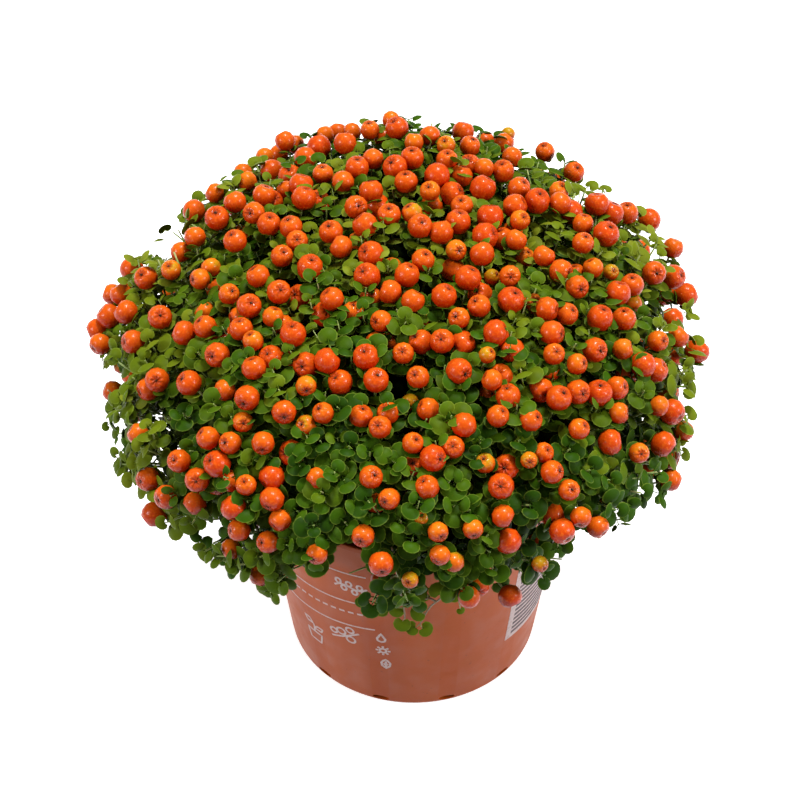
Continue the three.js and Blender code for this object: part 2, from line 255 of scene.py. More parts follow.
# Spots of the outline where the photograph shows no leaves: pixel and radius in pixels.
clearSpots = [
    (176, 237, 13), (160, 250, 9), (113, 379, 16), (122, 428, 8), (154, 463, 9), (209, 531, 13),
    (93, 362, 7), (562, 561, 11), (582, 197, 9), (651, 255, 8), (673, 312, 10), (675, 355, 8),
    (688, 404, 7), (648, 470, 8), (640, 490, 7), (548, 166, 7), (430, 121, 8), (450, 117, 7), (99, 372, 10),
    (103, 390, 9), (200, 182, 7), (215, 178, 6), (348, 560, 22), (330, 572, 14), (300, 576, 12),
    (366, 585, 12), (490, 590, 12), (516, 582, 10), (347, 586, 14), (341, 606, 10), (331, 593, 9),
    (319, 584, 8), (176, 258, 8),
]


def overDome(point):
    offset = point - dome["centre"]
    return offset.length - domeReach(offset.normalized())


def visibleReach(toward):
    # how far the leaves are from the dome's centre: as far as the dome, but less in the hollows
    reach = domeReach(toward)
    for azimuth, polar, depth, width in hollows:
        away = toward.angle(direction(azimuth, polar)) / math.radians(width)
        reach -= depth * math.exp(-away * away)
    return reach


def visiblePoint(toward, height=0):
    return toward * (visibleReach(toward) + height) + dome["centre"]


def domeNormal(toward):
    sideways = Vector((-toward.y, toward.x, 0))
    sideways = sideways.normalized() if sideways.length > 0.03 else Vector((0, 1, 0))
    upward, step = toward.cross(sideways), 0.035
    here, beside, above = [
        visiblePoint((toward + offset * step).normalized()) for offset in (Vector(), sideways, upward)]
    return (beside - here).cross(above - here).normalized()


# Berries that are placed as the photograph shows them, by their pixels, read off it. "height" is how
# far their middles are above the dome, in mm. Where the photograph doesn't reach, a seeded rule sets them
# out.
berryPlaces = {
    "whole": {"height": -1.8, "pixels": [
        # the crown, from the left
        (391, 120), (397, 128), (370, 130), (345, 143), (352, 132), (325, 135), (338, 133), (319, 147),
        (305, 158), (285, 141), (295, 144), (279, 154), (265, 157), (243, 173), (247, 181), (215, 193),
        (194, 211), (217, 218), (195, 237), (235, 202), (264, 195), (271, 202), (254, 213), (269, 224),
        (235, 241), (304, 198), (301, 185), (323, 174), (343, 182), (357, 168), (373, 159), (395, 167),
        (356, 207), (371, 191), (365, 225), (389, 215), (297, 241), (291, 227), (331, 232), (414, 142),
        (430, 136), (446, 145), (463, 132), (470, 146), (504, 143), (512, 157), (545, 152), (574, 172),
        (559, 191), (412, 158), (447, 160), (406, 182), (437, 176), (430, 191), (484, 168), (503, 171),
        (483, 188), (462, 206), (412, 213), (420, 226), (441, 232), (458, 222), (490, 217), (515, 206),
        (519, 188), (537, 201), (560, 203), (570, 212), (520, 220), (516, 240),
        # the left side
        (132, 269), (146, 278), (171, 270), (112, 294), (121, 294), (109, 316), (126, 312), (160, 317),
        (98, 330), (100, 344), (133, 342), (184, 333), (205, 327), (157, 380), (148, 389), (189, 383),
        (200, 279), (229, 294), (241, 329), (253, 341), (217, 355), (249, 306), (258, 276), (282, 256),
        (279, 292), (254, 368), (247, 398), (138, 434), (208, 438), (230, 443), (179, 461), (217, 464),
        (148, 479), (197, 480), (217, 483), (231, 481), (246, 485), (166, 497), (234, 508), (154, 514),
        (239, 530), (268, 542), (260, 576),
        # the middle
        (310, 267), (341, 247), (371, 254), (367, 276), (332, 299), (390, 292), (407, 275), (423, 260),
        (413, 301), (381, 321), (366, 357), (376, 380), (403, 353), (418, 377), (327, 361), (306, 365),
        (306, 386), (271, 358), (293, 334), (444, 296), (456, 250), (482, 254), (485, 236), (544, 256),
        (561, 271), (577, 287), (468, 278), (510, 276), (479, 306), (511, 300), (459, 318), (547, 309),
        (567, 314), (552, 333), (496, 333), (442, 341), (487, 355), (554, 354), (550, 370), (577, 364),
        (459, 371), (492, 380), (508, 396),
        # the right side
        (597, 204), (611, 213), (627, 213), (649, 220), (606, 234), (583, 243), (673, 248), (593, 268),
        (654, 273), (673, 277), (686, 295), (632, 285), (618, 293), (632, 303), (600, 318), (624, 319),
        (678, 337), (658, 341), (697, 351), (623, 349), (595, 350), (643, 365), (656, 370), (617, 388),
        (599, 393), (578, 392), (559, 398), (619, 413), (659, 406), (672, 412), (684, 431), (663, 444),
        (639, 453), (671, 480), (598, 527),
        # the lower front
        (284, 412), (323, 413), (306, 425), (263, 443), (272, 499), (272, 477), (280, 520), (380, 427),
        (388, 413), (413, 443), (414, 464), (433, 458), (427, 487), (371, 477), (389, 499), (376, 503),
        (464, 425), (453, 447), (498, 416), (531, 420), (579, 429), (529, 460), (552, 472), (501, 486),
        (569, 490), (503, 516), (473, 529), (562, 531), (581, 517), (440, 555), (454, 562), (438, 532),
        (469, 597), (510, 596), (363, 536), (317, 554), (381, 564),
    ]},
    "tucked": {"height": -5.0, "pixels": [
        (225, 390), (243, 422), (195, 503), (231, 549), (361, 416), (428, 409), (317, 478), (485, 463),
        (543, 453), (508, 541), (478, 585), (610, 442), (669, 458), (626, 375), (671, 291), (485, 142),
        (181, 252), (501, 376), (490, 394), (211, 268), (583, 224), (217, 287), (222, 338), (318, 202),
        (287, 191), (272, 171), (377, 206), (461, 176), (469, 166), (452, 194), (273, 317), (325, 314),
        (353, 312), (371, 298), (340, 382), (291, 363), (283, 325), (421, 342), (502, 239), (524, 257),
        (575, 275), (533, 304), (512, 350), (541, 390), (462, 344), (513, 231), (290, 176), (385, 137),
        (432, 205),
    ]},
    "deep": {"height": -9.0, "pixels": [
        (292, 453), (506, 467), (357, 243), (376, 343), (453, 270), (480, 295), (340, 390), (392, 268),
        (240, 318), (205, 312), (553, 515), (437, 425), (300, 297), (419, 320), (388, 343),
    ]},
    "unripe": {"height": -2.5, "pixels": [
        (410, 402), (410, 580), (540, 564), (422, 518), (508, 134), (611, 272), (492, 277),
    ]},
}
crowding = {"apart": 7.4, "step": 0.4, "most": 9}

# Leafy shoots by their pixels, those of the outline and those that fill the front between its berries, and
# shoots behind by azimuth and polar angle.
shootPixels = [
    (138, 259), (158, 260), (174, 252), (130, 280), (113, 352), (118, 362), (130, 376), (122, 397),
    (114, 408), (124, 422), (143, 448), (122, 464), (137, 464), (133, 479), (168, 522), (192, 524),
    (205, 551), (217, 556), (237, 565), (260, 557), (278, 582), (270, 593), (185, 221), (230, 185),
    (257, 165), (310, 137), (409, 119), (481, 132), (500, 138), (565, 163), (586, 188), (603, 190),
    (575, 193), (637, 214), (655, 235), (657, 244), (640, 255), (663, 264), (690, 311), (665, 325),
    (693, 342), (688, 370), (687, 386), (686, 416), (681, 450), (658, 472), (663, 494), (641, 493),
    (628, 508), (615, 510), (545, 575), (318, 575), (117, 458),
]
fillPixels = [
    (300, 466), (344, 480), (325, 500), (297, 511), (345, 522), (320, 441), (349, 446), (370, 452),
    (395, 464), (340, 412), (413, 538), (400, 520), (450, 480), (470, 510), (530, 505), (570, 449),
    (335, 465), (310, 490), (330, 538), (292, 538), (480, 440), (520, 440), (455, 505), (490, 552),
    (360, 505), (255, 460), (250, 510), (300, 400), (590, 470), (610, 480),
]
backShoots = [(150, 90), (175, 92), (60, 88), (90, 84), (120, 92), (30, 92)]
# A shoot in mm: how high its tip is over the dome, its stem, and its leaf pairs, each with its distance
# below the tip, its size and its tilt in degrees.
shootForm = {
    "outlineHeight": -0.5, "fillHeight": -4.5, "length": 17, "knee": 8, "stray": 0.8, "leanUp": 0.5,
    "radius": 0.5, "endRadius": 0.3,
    "pairs": [(0.2, 0.75, 32), (2.8, 1.0, 14), (6.5, 1.05, 4)],
}

# The dome as an open surface that the sprigs are set out on: angles in degrees down from its top, mm, and
# shares. Its corners know how rich in berries and in leaves they are, and how shaded.
cover = {
    "lowest": 136, "potClear": 66, "potLevel": 100, "richest": 0.97, "richTop": 35, "richLow": 97,
    "lowShare": 0.33, "thinShare": 0.35, "topLeaf": 0.45, "topEnd": 55, "sideLeaf": 0.52, "leafTop": 50,
    "leafLow": 80, "shadeTop": 8, "shadeLow": 70, "sideLight": 0.85, "frontShade": 0.35, "behind": -0.1,
}


def share(value, low, high):
    return max(0, min(1, (value - low) / (high - low)))


def shadeAt(toward):
    # painted shade for the leaves, also their size: more toward the rim and the front, less to the left and
    # right
    shade = share(math.degrees(math.acos(toward.z)), cover["shadeTop"], cover["shadeLow"])
    shade *= 1 - cover["sideLight"] * abs(toward.x)
    return min(1, shade + cover["frontShade"] * max(0, -toward.y))


def inSpots(point, spots):
    x, y = seenAt(point)
    return any(math.hypot(x - spotX, y - spotY) < radius for spotX, spotY, radius in spots)


def makeDomeForm(name, height, thinHeight=0):
    # the leaves' surface at one height, and at another more where the plant is thin, open over the pot
    ball = bmesh.new()
    bmesh.ops.create_icosphere(ball, subdivisions=5, radius=1)
    lowest = math.cos(math.radians(cover["lowest"]))
    thinness = {}
    for corner in ball.verts:
        toward = corner.co.normalized()
        thin = 0
        for azimuth, polar, width in thinSpots:
            thin += math.exp(-(toward.angle(direction(azimuth, polar)) / math.radians(width)) ** 2)
        thinness[corner.index] = min(1, thin)
        corner.co = visiblePoint(toward, height + thinHeight * thinness[corner.index])
    unwanted = []
    for face in ball.faces:
        point = face.calc_center_median()
        toward = (point - dome["centre"]).normalized()
        bare = point.y < 0 and inSpots(point, bareSpots)
        overPot = point.z < cover["potLevel"] and math.hypot(point.x, point.y) < cover["potClear"]
        if bare or overPot or toward.z < lowest:
            unwanted.append(face)
    layers = {key: ball.verts.layers.float.new(key) for key in ("rich", "leafy", "shade")}
    for corner in ball.verts:
        toward = (corner.co - dome["centre"]).normalized()
        polar = math.degrees(math.acos(toward.z))
        lower = share(polar, cover["richTop"], cover["richLow"])
        rich = cover["richest"] - (cover["richest"] - cover["lowShare"]) * lower
        # the berries of the side that the photograph shows are placed one by one
        corner[layers["rich"]] = rich if domeNormal(toward).dot(towardEye) < cover["behind"] else 0
        sparse = 1 - (1 - cover["sideLeaf"]) * share(polar, cover["leafTop"], cover["leafLow"])
        sparse *= cover["topLeaf"] + (1 - cover["topLeaf"]) * share(polar, 0, cover["topEnd"])
        corner[layers["leafy"]] = sparse * (1 - (1 - cover["thinShare"]) * thinness[corner.index])
        corner[layers["shade"]] = shadeAt(toward)
    bmesh.ops.delete(ball, geom=unwanted, context="FACES")
    tuftLayer = ball.faces.layers.int.new("tuft")
    for face in ball.faces:
        face[tuftLayer] = tuftIndex(face.calc_center_median())
    for corner in ball.verts:
        corner.co *= mm
    mesh = bpy.data.meshes.new(name)
    ball.to_mesh(mesh)
    ball.free()
    return mesh


def tooClose(place, found):
    return any((place - other).length < crowding["apart"] for other, _ in found)


def findBerries():
    # each berry's middle and group; where two would run into each other, the later one sits further back
    found = []
    for key, group in berryPlaces.items():
        for x, y in group["pixels"]:
            place = sighted(x, y, overDome, group["height"])
            onward = (place - eye).normalized() * crowding["step"]
            moved = 0
            while moved < crowding["most"] and tooClose(place, found):
                place = place + onward
                moved += crowding["step"]
            found.append((place, key))
    return found


def makePlacedSpots():
    # the placed berries as loose corners, which the planting tree adds to its own
    mesh = bpy.data.meshes.new("placedSpots")
    found = findBerries()
    toward = [(place - dome["centre"]).normalized() for place, key in found]
    mesh.from_pydata([place * mm for place, key in found], [], [])
    values = {
        "outward": ("FLOAT_VECTOR", "vector", [c for t in toward for c in domeNormal(t)]),
        "id": ("INT", "value", list(range(1, len(found) + 1))),
        "tuft": ("INT", "value", [tuftIndex(place) for place, key in found]),
        "shade": ("FLOAT", "value", [shadeAt(t) for t in toward]),
        "placed": ("FLOAT", "value", [1.0] * len(found)),
        "green": ("FLOAT", "value", [float(key == "unripe") for place, key in found]),
    }
    for key, (kind, field, data) in values.items():
        mesh.attributes.new(key, kind, "POINT").data.foreach_set(field, data)
    spots = bpy.data.objects.new("placedSpots", mesh)
    bpy.context.collection.objects.link(spots)
    return spots


domeForm = makeDomeForm("domeForm", 0)
placedSpots = makePlacedSpots()
print("dome form:", len(domeForm.polygons), "faces")


# Living leaf, thin and slightly fleshy: a satin cuticle over mottled green, deeper where it is old. Painted
# light and shade make it yellower high up and at the sides and deeper toward the rim and the front, and its
# paler margin is a painted highlight.
def makeLeafMaterial():
    material, tree, shader, place = newMaterial("satinLeaf")
    tone = addNode(tree, "ShaderNodeAttribute", attribute_name="tone").outputs["Fac"]
    age = addNode(tree, "ShaderNodeAttribute", attribute_name="age").outputs["Fac"]
    shade = addNode(tree, "ShaderNodeAttribute", attribute_name="shade").outputs["Fac"]
    blade = addNode(tree, "ShaderNodeUVMap", uv_map="leafMap").outputs[0]
    # one leaf is about 7 mm, so this mottles from leaf to leaf
    patches = addNode(tree, "ShaderNodeTexNoise",
        {"Vector": place, "Scale": 1 / (9 * mm), "Detail": 2}).outputs["Fac"]
    cells = addNode(tree, "ShaderNodeTexNoise",
        {"Vector": place, "Scale": 1 / (0.9 * mm), "Detail": 3}).outputs["Fac"]
    ownTone = addNode(tree, "ShaderNodeMath", {0: tone, 1: 0.45}, operation="MULTIPLY").outputs[0]
    mottle = addNode(tree, "ShaderNodeMath", {0: patches, 1: 0.25, 2: ownTone},
        operation="MULTIPLY_ADD").outputs[0]
    # painted light and shade: paler and yellower where the painted shade is low, high up and at the sides
    paintedLight = addNode(tree, "ShaderNodeMapRange", {"Value": shade, 3: 0.4, 4: 0.0}).outputs[0]
    mixed = addNode(tree, "ShaderNodeMath", {0: mottle, 1: paintedLight}, operation="ADD").outputs[0]
    green = addNode(tree, "ShaderNodeValToRGB", {"Fac": mixed}, [
        (0.0, "142803"), (0.15, "1E3A04"), (0.35, "304F05"), (0.55, "4A600A"), (0.75, "657110"),
        (0.95, "808626")]).outputs[0]
    ageing = addNode(tree, "ShaderNodeMath", {0: age, 1: 0.55}, operation="MULTIPLY",
        use_clamp=True).outputs[0]
    old = addNode(tree, "ShaderNodeMix", {0: ageing, 6: green, 7: hexColour("203604")},
        data_type="RGBA").outputs[2]
    # a paler margin, a painted highlight where the blade's rounded edge would catch the light
    centred = addNode(tree, "ShaderNodeVectorMath", {0: blade, 1: (0.5, 0.5, 0)},
        operation="SUBTRACT").outputs[0]
    reach = addNode(tree, "ShaderNodeVectorMath", {0: centred}, operation="LENGTH").outputs["Value"]
    edge = addNode(tree, "ShaderNodeMapRange", {"Value": reach, 1: 0.43, 2: 0.5, 4: 0.5}).outputs[0]
    margin = addNode(tree, "ShaderNodeMix", {0: edge, 6: old, 7: hexColour("8FA43A")},
        data_type="RGBA").outputs[2]
    speckle = addNode(tree, "ShaderNodeMapRange", {"Value": cells, 4: 0.18}).outputs[0]
    mottled = addNode(tree, "ShaderNodeMix", {0: speckle, 6: margin, 7: hexColour("2C4A06")},
        data_type="RGBA").outputs[2]
    bump = addNode(tree, "ShaderNodeBump",
        {"Strength": 0.25, "Distance": 0.15 * mm, "Height": cells}).outputs[0]
    fill(tree, shader, {
        "Base Color": mottled, "Roughness": 0.5, "IOR": 1.45, "Specular IOR Level": 0.06, "Normal": bump})
    return material


# Soft green stem, pale and a little translucent in life, redder where it is old.
def makeStemMaterial():
    material, tree, shader, place = newMaterial("greenStem")
    streaks = addNode(tree, "ShaderNodeTexNoise",
        {"Vector": place, "Scale": 1 / (5 * mm), "Detail": 2}).outputs["Fac"]
    young = addNode(tree, "ShaderNodeValToRGB", {"Fac": streaks},
        [(0.3, "6C8A36"), (0.55, "93A957"), (0.75, "A8A468")]).outputs[0]
    age = addNode(tree, "ShaderNodeAttribute", attribute_name="age").outputs["Fac"]
    aged = addNode(tree, "ShaderNodeMix", {0: age, 6: young, 7: hexColour("5E2E14")},
        data_type="RGBA").outputs[2]
    fill(tree, shader, {"Base Color": aged, "Roughness": 0.5})
    return material


# Ripe berry: thin waxy skin over juicy flesh, so it glows a little and has a soft highlight. Painted shade
# makes its downward side a deeper red and darkens its creases, and the dimple at its tip, which is a darker
# red of its own as well.
def makeBerryMaterial():
    material, tree, shader, place = newMaterial("waxyBerrySkin")
    ripe = addNode(tree, "ShaderNodeAttribute", attribute_name="ripe").outputs["Fac"]
    sky = addNode(tree, "ShaderNodeAttribute", attribute_name="sky").outputs["Fac"]
    skin = addNode(tree, "ShaderNodeUVMap", uv_map="skinMap").outputs[0]
    split = addNode(tree, "ShaderNodeSeparateXYZ", {0: skin})
    around, fromTip = split.outputs[0], split.outputs[1]
    blush = addNode(tree, "ShaderNodeTexNoise",
        {"Vector": place, "Scale": 1 / (4 * mm), "Detail": 2}).outputs["Fac"]
    ripeness = addNode(tree, "ShaderNodeMath", {0: ripe, 1: 0.8}, operation="MULTIPLY").outputs[0]
    mixed = addNode(tree, "ShaderNodeMath", {0: blush, 1: 0.2, 2: ripeness},
        operation="MULTIPLY_ADD").outputs[0]
    base = addNode(tree, "ShaderNodeValToRGB", {"Fac": mixed}, [
        (0.1, "B08A10"), (0.13, "D8740E"), (0.24, "D2620B"), (0.6, "CA5409"), (0.9, "C24406")]).outputs[0]
    # painted shade: a deeper red on the side that faces down, by the stored "sky" facing
    underShadeShare = addNode(tree, "ShaderNodeMapRange", {"Value": sky, 1: 0.95, 2: -0.15, 4: 0.9}).outputs[0]
    underShaded = addNode(tree, "ShaderNodeMix", {0: underShadeShare, 6: base, 7: hexColour("B21600")},
        data_type="RGBA").outputs[2]
    specks = addNode(tree, "ShaderNodeTexNoise",
        {"Vector": place, "Scale": 1 / (0.8 * mm), "Detail": 3}).outputs["Fac"]
    speckShare = addNode(tree, "ShaderNodeMapRange", {"Value": specks, 1: 0.5, 2: 0.72, 4: 0.35}).outputs[0]
    speckled = addNode(tree, "ShaderNodeMix", {0: speckShare, 6: underShaded, 7: hexColour("F07A20")},
        data_type="RGBA").outputs[2]
    # a darker red in the dimple at the tip: partly the skin's own colour there, partly painted shade in the
    # hollow
    tipToneAndShadeShare = addNode(tree, "ShaderNodeMapRange",
        {"Value": fromTip, 1: 0.0, 2: 0.14, 3: 0.7, 4: 0.0}).outputs[0]
    tipToneAndShade = addNode(tree, "ShaderNodeMix", {0: tipToneAndShadeShare, 6: speckled, 7: hexColour("A03206")},
        data_type="RGBA").outputs[2]
    # creases that run from the tip and fade down the side, a little darker than the rest with painted shade
    angle = addNode(tree, "ShaderNodeMath", {0: around, 1: 2 * math.pi * 7}, operation="MULTIPLY").outputs[0]
    wave = addNode(tree, "ShaderNodeMath", {0: angle}, operation="SINE").outputs[0]
    fade = addNode(tree, "ShaderNodeMapRange",
        {"Value": fromTip, 1: 0.05, 2: 0.34, 3: 1.0, 4: 0.0}).outputs[0]
    creases = addNode(tree, "ShaderNodeMath", {0: wave, 1: fade}, operation="MULTIPLY").outputs[0]
    creaseShadeShare = addNode(tree, "ShaderNodeMapRange", {"Value": creases, 1: -0.2, 2: -0.9, 4: 0.3}).outputs[0]
    creaseShaded = addNode(tree, "ShaderNodeMix", {0: creaseShadeShare, 6: tipToneAndShade, 7: hexColour("98280A")},
        data_type="RGBA").outputs[2]
    height = addNode(tree, "ShaderNodeMath", {0: specks, 1: 0.8, 2: creases},
        operation="MULTIPLY_ADD").outputs[0]
    bump = addNode(tree, "ShaderNodeBump",
        {"Strength": 0.6, "Distance": 0.3 * mm, "Height": height}).outputs[0]
    fill(tree, shader, {
        "Base Color": creaseShaded, "Normal": bump, "Roughness": 0.32, "IOR": 1.42, "Subsurface Weight": 0.15,
        "Subsurface Radius": (1.0, 0.35, 0.1), "Subsurface Scale": 1.2 * mm, "Specular IOR Level": 0.14,
        "Coat Weight": 0.16, "Coat Roughness": 0.12})
    return material


# Withered calyx at the berry's tip: dry, dull brown.
def makeCalyxMaterial():
    material, tree, shader, place = newMaterial("dryCalyx")
    grain = addNode(tree, "ShaderNodeTexNoise", {"Vector": place, "Scale": 1 / (0.4 * mm)}).outputs["Fac"]
    withered = addNode(tree, "ShaderNodeValToRGB", {"Fac": grain},
        [(0.35, "3A1808"), (0.65, "8A4A1C")]).outputs[0]
    fill(tree, shader, {"Base Color": withered, "Roughness": 0.8})
    return material


# The mat of stems and old leaves under the outer ones, dry and rough. Its near-black is painted shade for the
# deep inside of the growth, and it is greener to the left and right as painted light, where the growth is
# thin and daylight falls through.
def makeMatMaterial():
    material, tree, shader, place = newMaterial("shadedStemMat")
    tangle = addNode(tree, "ShaderNodeTexNoise",
        {"Vector": place, "Scale": 1 / (3 * mm), "Detail": 5}).outputs["Fac"]
    shaded = addNode(tree, "ShaderNodeValToRGB", {"Fac": tangle},
        [(0.35, "020301"), (0.55, "060902"), (0.75, "0E1405")]).outputs[0]
    # painted light: greener to the left and right
    across = addNode(tree, "ShaderNodeSeparateXYZ", {0: place}).outputs[0]
    sideways = addNode(tree, "ShaderNodeMath", {0: across}, operation="ABSOLUTE").outputs[0]
    thinness = addNode(tree, "ShaderNodeMapRange",
        {"Value": sideways, 1: 46 * mm, 2: 80 * mm, 4: 0.95}).outputs[0]
    paintedSideLight = addNode(tree, "ShaderNodeMix", {0: thinness, 6: shaded, 7: hexColour("72823A")},
        data_type="RGBA").outputs[2]
    bump = addNode(tree, "ShaderNodeBump",
        {"Strength": 0.8, "Distance": 1.2 * mm, "Height": tangle}).outputs[0]
    fill(tree, shader, {"Base Color": paintedSideLight, "Normal": bump, "Roughness": 0.95, "Specular IOR Level": 0.0})
    return material


# Moulded polypropylene, coloured through: a dull satin skin, with faint flow marks and scuffs.
def makePotMaterial():
    material, tree, shader, place = newMaterial("mouldedPolypropylene")
    flow = addNode(tree, "ShaderNodeMapping", {"Vector": place, "Scale": (1, 1, 0.25)}).outputs[0]
    cloud = addNode(tree, "ShaderNodeTexNoise",
        {"Vector": flow, "Scale": 1 / (22 * mm), "Detail": 4}).outputs["Fac"]
    base = addNode(tree, "ShaderNodeValToRGB", {"Fac": cloud},
        [(0.3, "A24412"), (0.55, "AE4C14"), (0.75, "B6541A")]).outputs[0]
    specks = addNode(tree, "ShaderNodeTexNoise",
        {"Vector": place, "Scale": 1 / (1.6 * mm), "Detail": 2}).outputs["Fac"]
    scuffs = addNode(tree, "ShaderNodeMapRange", {"Value": specks, 1: 0.68, 2: 0.78, 4: 0.5}).outputs[0]
    scuffed = addNode(tree, "ShaderNodeMix", {0: scuffs, 6: base, 7: hexColour("5E2C1C")},
        data_type="RGBA").outputs[2]
    dust = addNode(tree, "ShaderNodeTexNoise",
        {"Vector": place, "Scale": 1 / (7 * mm), "Detail": 5}).outputs["Fac"]
    dustShare = addNode(tree, "ShaderNodeMapRange", {"Value": dust, 1: 0.55, 2: 0.75, 4: 0.16}).outputs[0]
    dusty = addNode(tree, "ShaderNodeMix", {0: dustShare, 6: scuffed, 7: hexColour("B07250")},
        data_type="RGBA").outputs[2]
    dulling = addNode(tree, "ShaderNodeMapRange",
        {"Value": dust, 1: 0.3, 2: 0.7, 3: 0.38, 4: 0.55}).outputs[0]
    bump = addNode(tree, "ShaderNodeBump",
        {"Strength": 0.12, "Distance": 0.1 * mm, "Height": specks}).outputs[0]
    fill(tree, shader, {
        "Base Color": dusty, "Roughness": dulling, "Normal": bump, "IOR": 1.49, "Specular IOR Level": 0.2})
    return material


# Screen-printing ink: thin, matt and a little worn, so the plastic shows through here and there.
def makeInkMaterial(name, colour, worn):
    material, tree, shader, place = newMaterial(name)
    wear = addNode(tree, "ShaderNodeTexNoise",
        {"Vector": place, "Scale": 1 / (1.1 * mm), "Detail": 4}).outputs["Fac"]
    bareShare = addNode(tree, "ShaderNodeMapRange", {"Value": wear, 1: 0.5, 2: 0.72, 4: 0.6}).outputs[0]
    ink = addNode(tree, "ShaderNodeMix", {0: bareShare, 6: hexColour(colour), 7: hexColour(worn)},
        data_type="RGBA").outputs[2]
    fill(tree, shader, {"Base Color": ink, "Roughness": 0.6})
    return material


# Moist peat: nearly black brown crumbs with lighter fibres, no shine.
def makeSoilMaterial():
    material, tree, shader, place = newMaterial("moistPeat")
    crumbs = addNode(tree, "ShaderNodeTexNoise",
        {"Vector": place, "Scale": 1 / (2 * mm), "Detail": 6}).outputs["Fac"]
    peat = addNode(tree, "ShaderNodeValToRGB", {"Fac": crumbs}, [
        (0.32, "140D08"), (0.5, "2B1D13"), (0.68, "4A3524"), (0.76, "8A7458")]).outputs[0]
    bump = addNode(tree, "ShaderNodeBump",
        {"Strength": 0.9, "Distance": 0.8 * mm, "Height": crumbs}).outputs[0]
    fill(tree, shader, {"Base Color": peat, "Normal": bump, "Roughness": 0.92})
    return material


potFinish, soilFinish = makePotMaterial(), makeSoilMaterial()
paleInk = makeInkMaterial("paleInk", "CDB9B8", "A9786A")
darkInk = makeInkMaterial("darkInk", "4B3A3E", "6E4A42")
leafFinish, stemFinish = makeLeafMaterial(), makeStemMaterial()
berryFinish, calyxFinish, matFinish = makeBerryMaterial(), makeCalyxMaterial(), makeMatMaterial()


# The pot, turned from the solid's own profile with its corners rounded, all in millimetres.
pot = {
    "height": 95, "rimRadius": 60, "rimHeight": 2.5, "rimStep": 0.9, "footRadius": 47.8,
    "footRounding": 0.9, "wall": 1.2, "channelInside": 30, "channelOutside": 41, "channelRise": 1.5,
    "sides": 240, "slots": 12, "slotWidth": 6.4, "slotHeight": 2.4, "slotLift": 0.1, "slotDepth": 6,
}


def wallRadius(height):
    top = pot["rimRadius"] - pot["rimStep"]
    return pot["footRadius"] + (top - pot["footRadius"]) * height / (pot["height"] - pot["rimHeight"])


def roundedProfile(corners, steps=4):
    # each corner is [radius, height, rounding]
    points = []
    for i, (r, z, rounding) in enumerate(corners):
        here = Vector((r, z))
        if rounding == 0:
            points.append(here)
            continue
        before, after = Vector(corners[i - 1][:2]), Vector(corners[i + 1][:2])
        inward, onward = (before - here), (after - here)
        reach = min(rounding, inward.length * 0.45, onward.length * 0.45)
        first, last = here + inward.normalized() * reach, here + onward.normalized() * reach
        for k in range(steps + 1):
            t = k / steps
            points.append(first * (1 - t) ** 2 + here * 2 * t * (1 - t) + last * t ** 2)
    return points


def turned(name, profile, sides):
    # a closed skin from a profile that starts and ends on the axis
    inner = profile[1:-1]
    points = [(0, 0, profile[0].y)]
    for p in inner:
        for k in range(sides):
            turn = 2 * math.pi * k / sides
            points.append((p.x * math.cos(turn), p.x * math.sin(turn), p.y))
    points.append((0, 0, profile[-1].y))
    faces = []
    for k in range(sides):
        n = (k + 1) % sides
        faces.append((0, 1 + n, 1 + k))
        for ring in range(len(inner) - 1):
            a, b = 1 + ring * sides, 1 + (ring + 1) * sides
            faces.append((a + k, a + n, b + n, b + k))
        faces.append((len(points) - 1, 1 + (len(inner) - 1) * sides + k, 1 + (len(inner) - 1) * sides + n))
    return meshObject(name, points, faces)


def smoothBySide(piece, angle=32):
    # smooth shading that keeps the real edges crisp
    shape = bmesh.new()
    shape.from_mesh(piece.data)
    for face in shape.faces:
        face.smooth = True
    for edge in shape.edges:
        edge.smooth = len(edge.link_faces) == 2 and edge.calc_face_angle(0) < math.radians(angle)
    shape.to_mesh(piece.data)
    shape.free()
    return piece


def makeSlotsTree():
    tree, given = newTree("drainSlots", [
        ("Geometry", "Geometry", None), ("Count", "Int", 12), ("Radius", "Float", 0.05),
        ("Level", "Float", 0.002), ("Width", "Float", 0.006), ("Height", "Float", 0.002),
        ("Depth", "Float", 0.006), ("Finish", "Material", None)])
    ring = addNode(tree, "GeometryNodeMeshCircle",
        {"Vertices": given["Count"], "Radius": given["Radius"]}).outputs[0]
    half = addNode(tree, "ShaderNodeMath", {0: math.pi, 1: given["Count"]}, operation="DIVIDE").outputs[0]
    offset = addNode(tree, "ShaderNodeCombineXYZ", {2: given["Level"]}).outputs[0]
    turn = addNode(tree, "ShaderNodeCombineXYZ", {2: half}).outputs[0]
    placed = addNode(tree, "GeometryNodeTransform",
        {"Geometry": ring, "Translation": offset, "Rotation": turn}).outputs[0]
    cutter = addNode(tree, "GeometryNodeMeshCylinder",
        {"Vertices": 20, "Radius": 0.5, "Depth": 1.0}).outputs[0]
    laid = addNode(tree, "GeometryNodeTransform",
        {"Geometry": cutter, "Rotation": (0, math.pi / 2, 0)}).outputs[0]
    size = addNode(tree, "ShaderNodeCombineXYZ",
        {0: given["Depth"], 1: given["Width"], 2: given["Height"]}).outputs[0]
    sized = addNode(tree, "GeometryNodeTransform", {"Geometry": laid, "Scale": size}).outputs[0]
    position = addNode(tree, "GeometryNodeInputPosition").outputs[0]
    level = addNode(tree, "ShaderNodeVectorMath", {0: position, 1: (1, 1, 0)},
        operation="MULTIPLY").outputs[0]
    facing = addNode(tree, "FunctionNodeAlignRotationToVector", {"Vector": level}, axis="X").outputs[0]
    cutters = addNode(tree, "GeometryNodeInstanceOnPoints",
        {"Points": placed, "Instance": sized, "Rotation": facing}).outputs[0]
    real = addNode(tree, "GeometryNodeRealizeInstances", {"Geometry": cutters}).outputs[0]
    cut = addNode(tree, "GeometryNodeMeshBoolean", {"Mesh 1": given["Geometry"], "Mesh 2": real},
        operation="DIFFERENCE").outputs[0]
    painted = addNode(tree, "GeometryNodeSetMaterial",
        {"Geometry": cut, "Material": given["Finish"]}).outputs[0]
    addNode(tree, "NodeGroupOutput", {0: painted})
    return tree


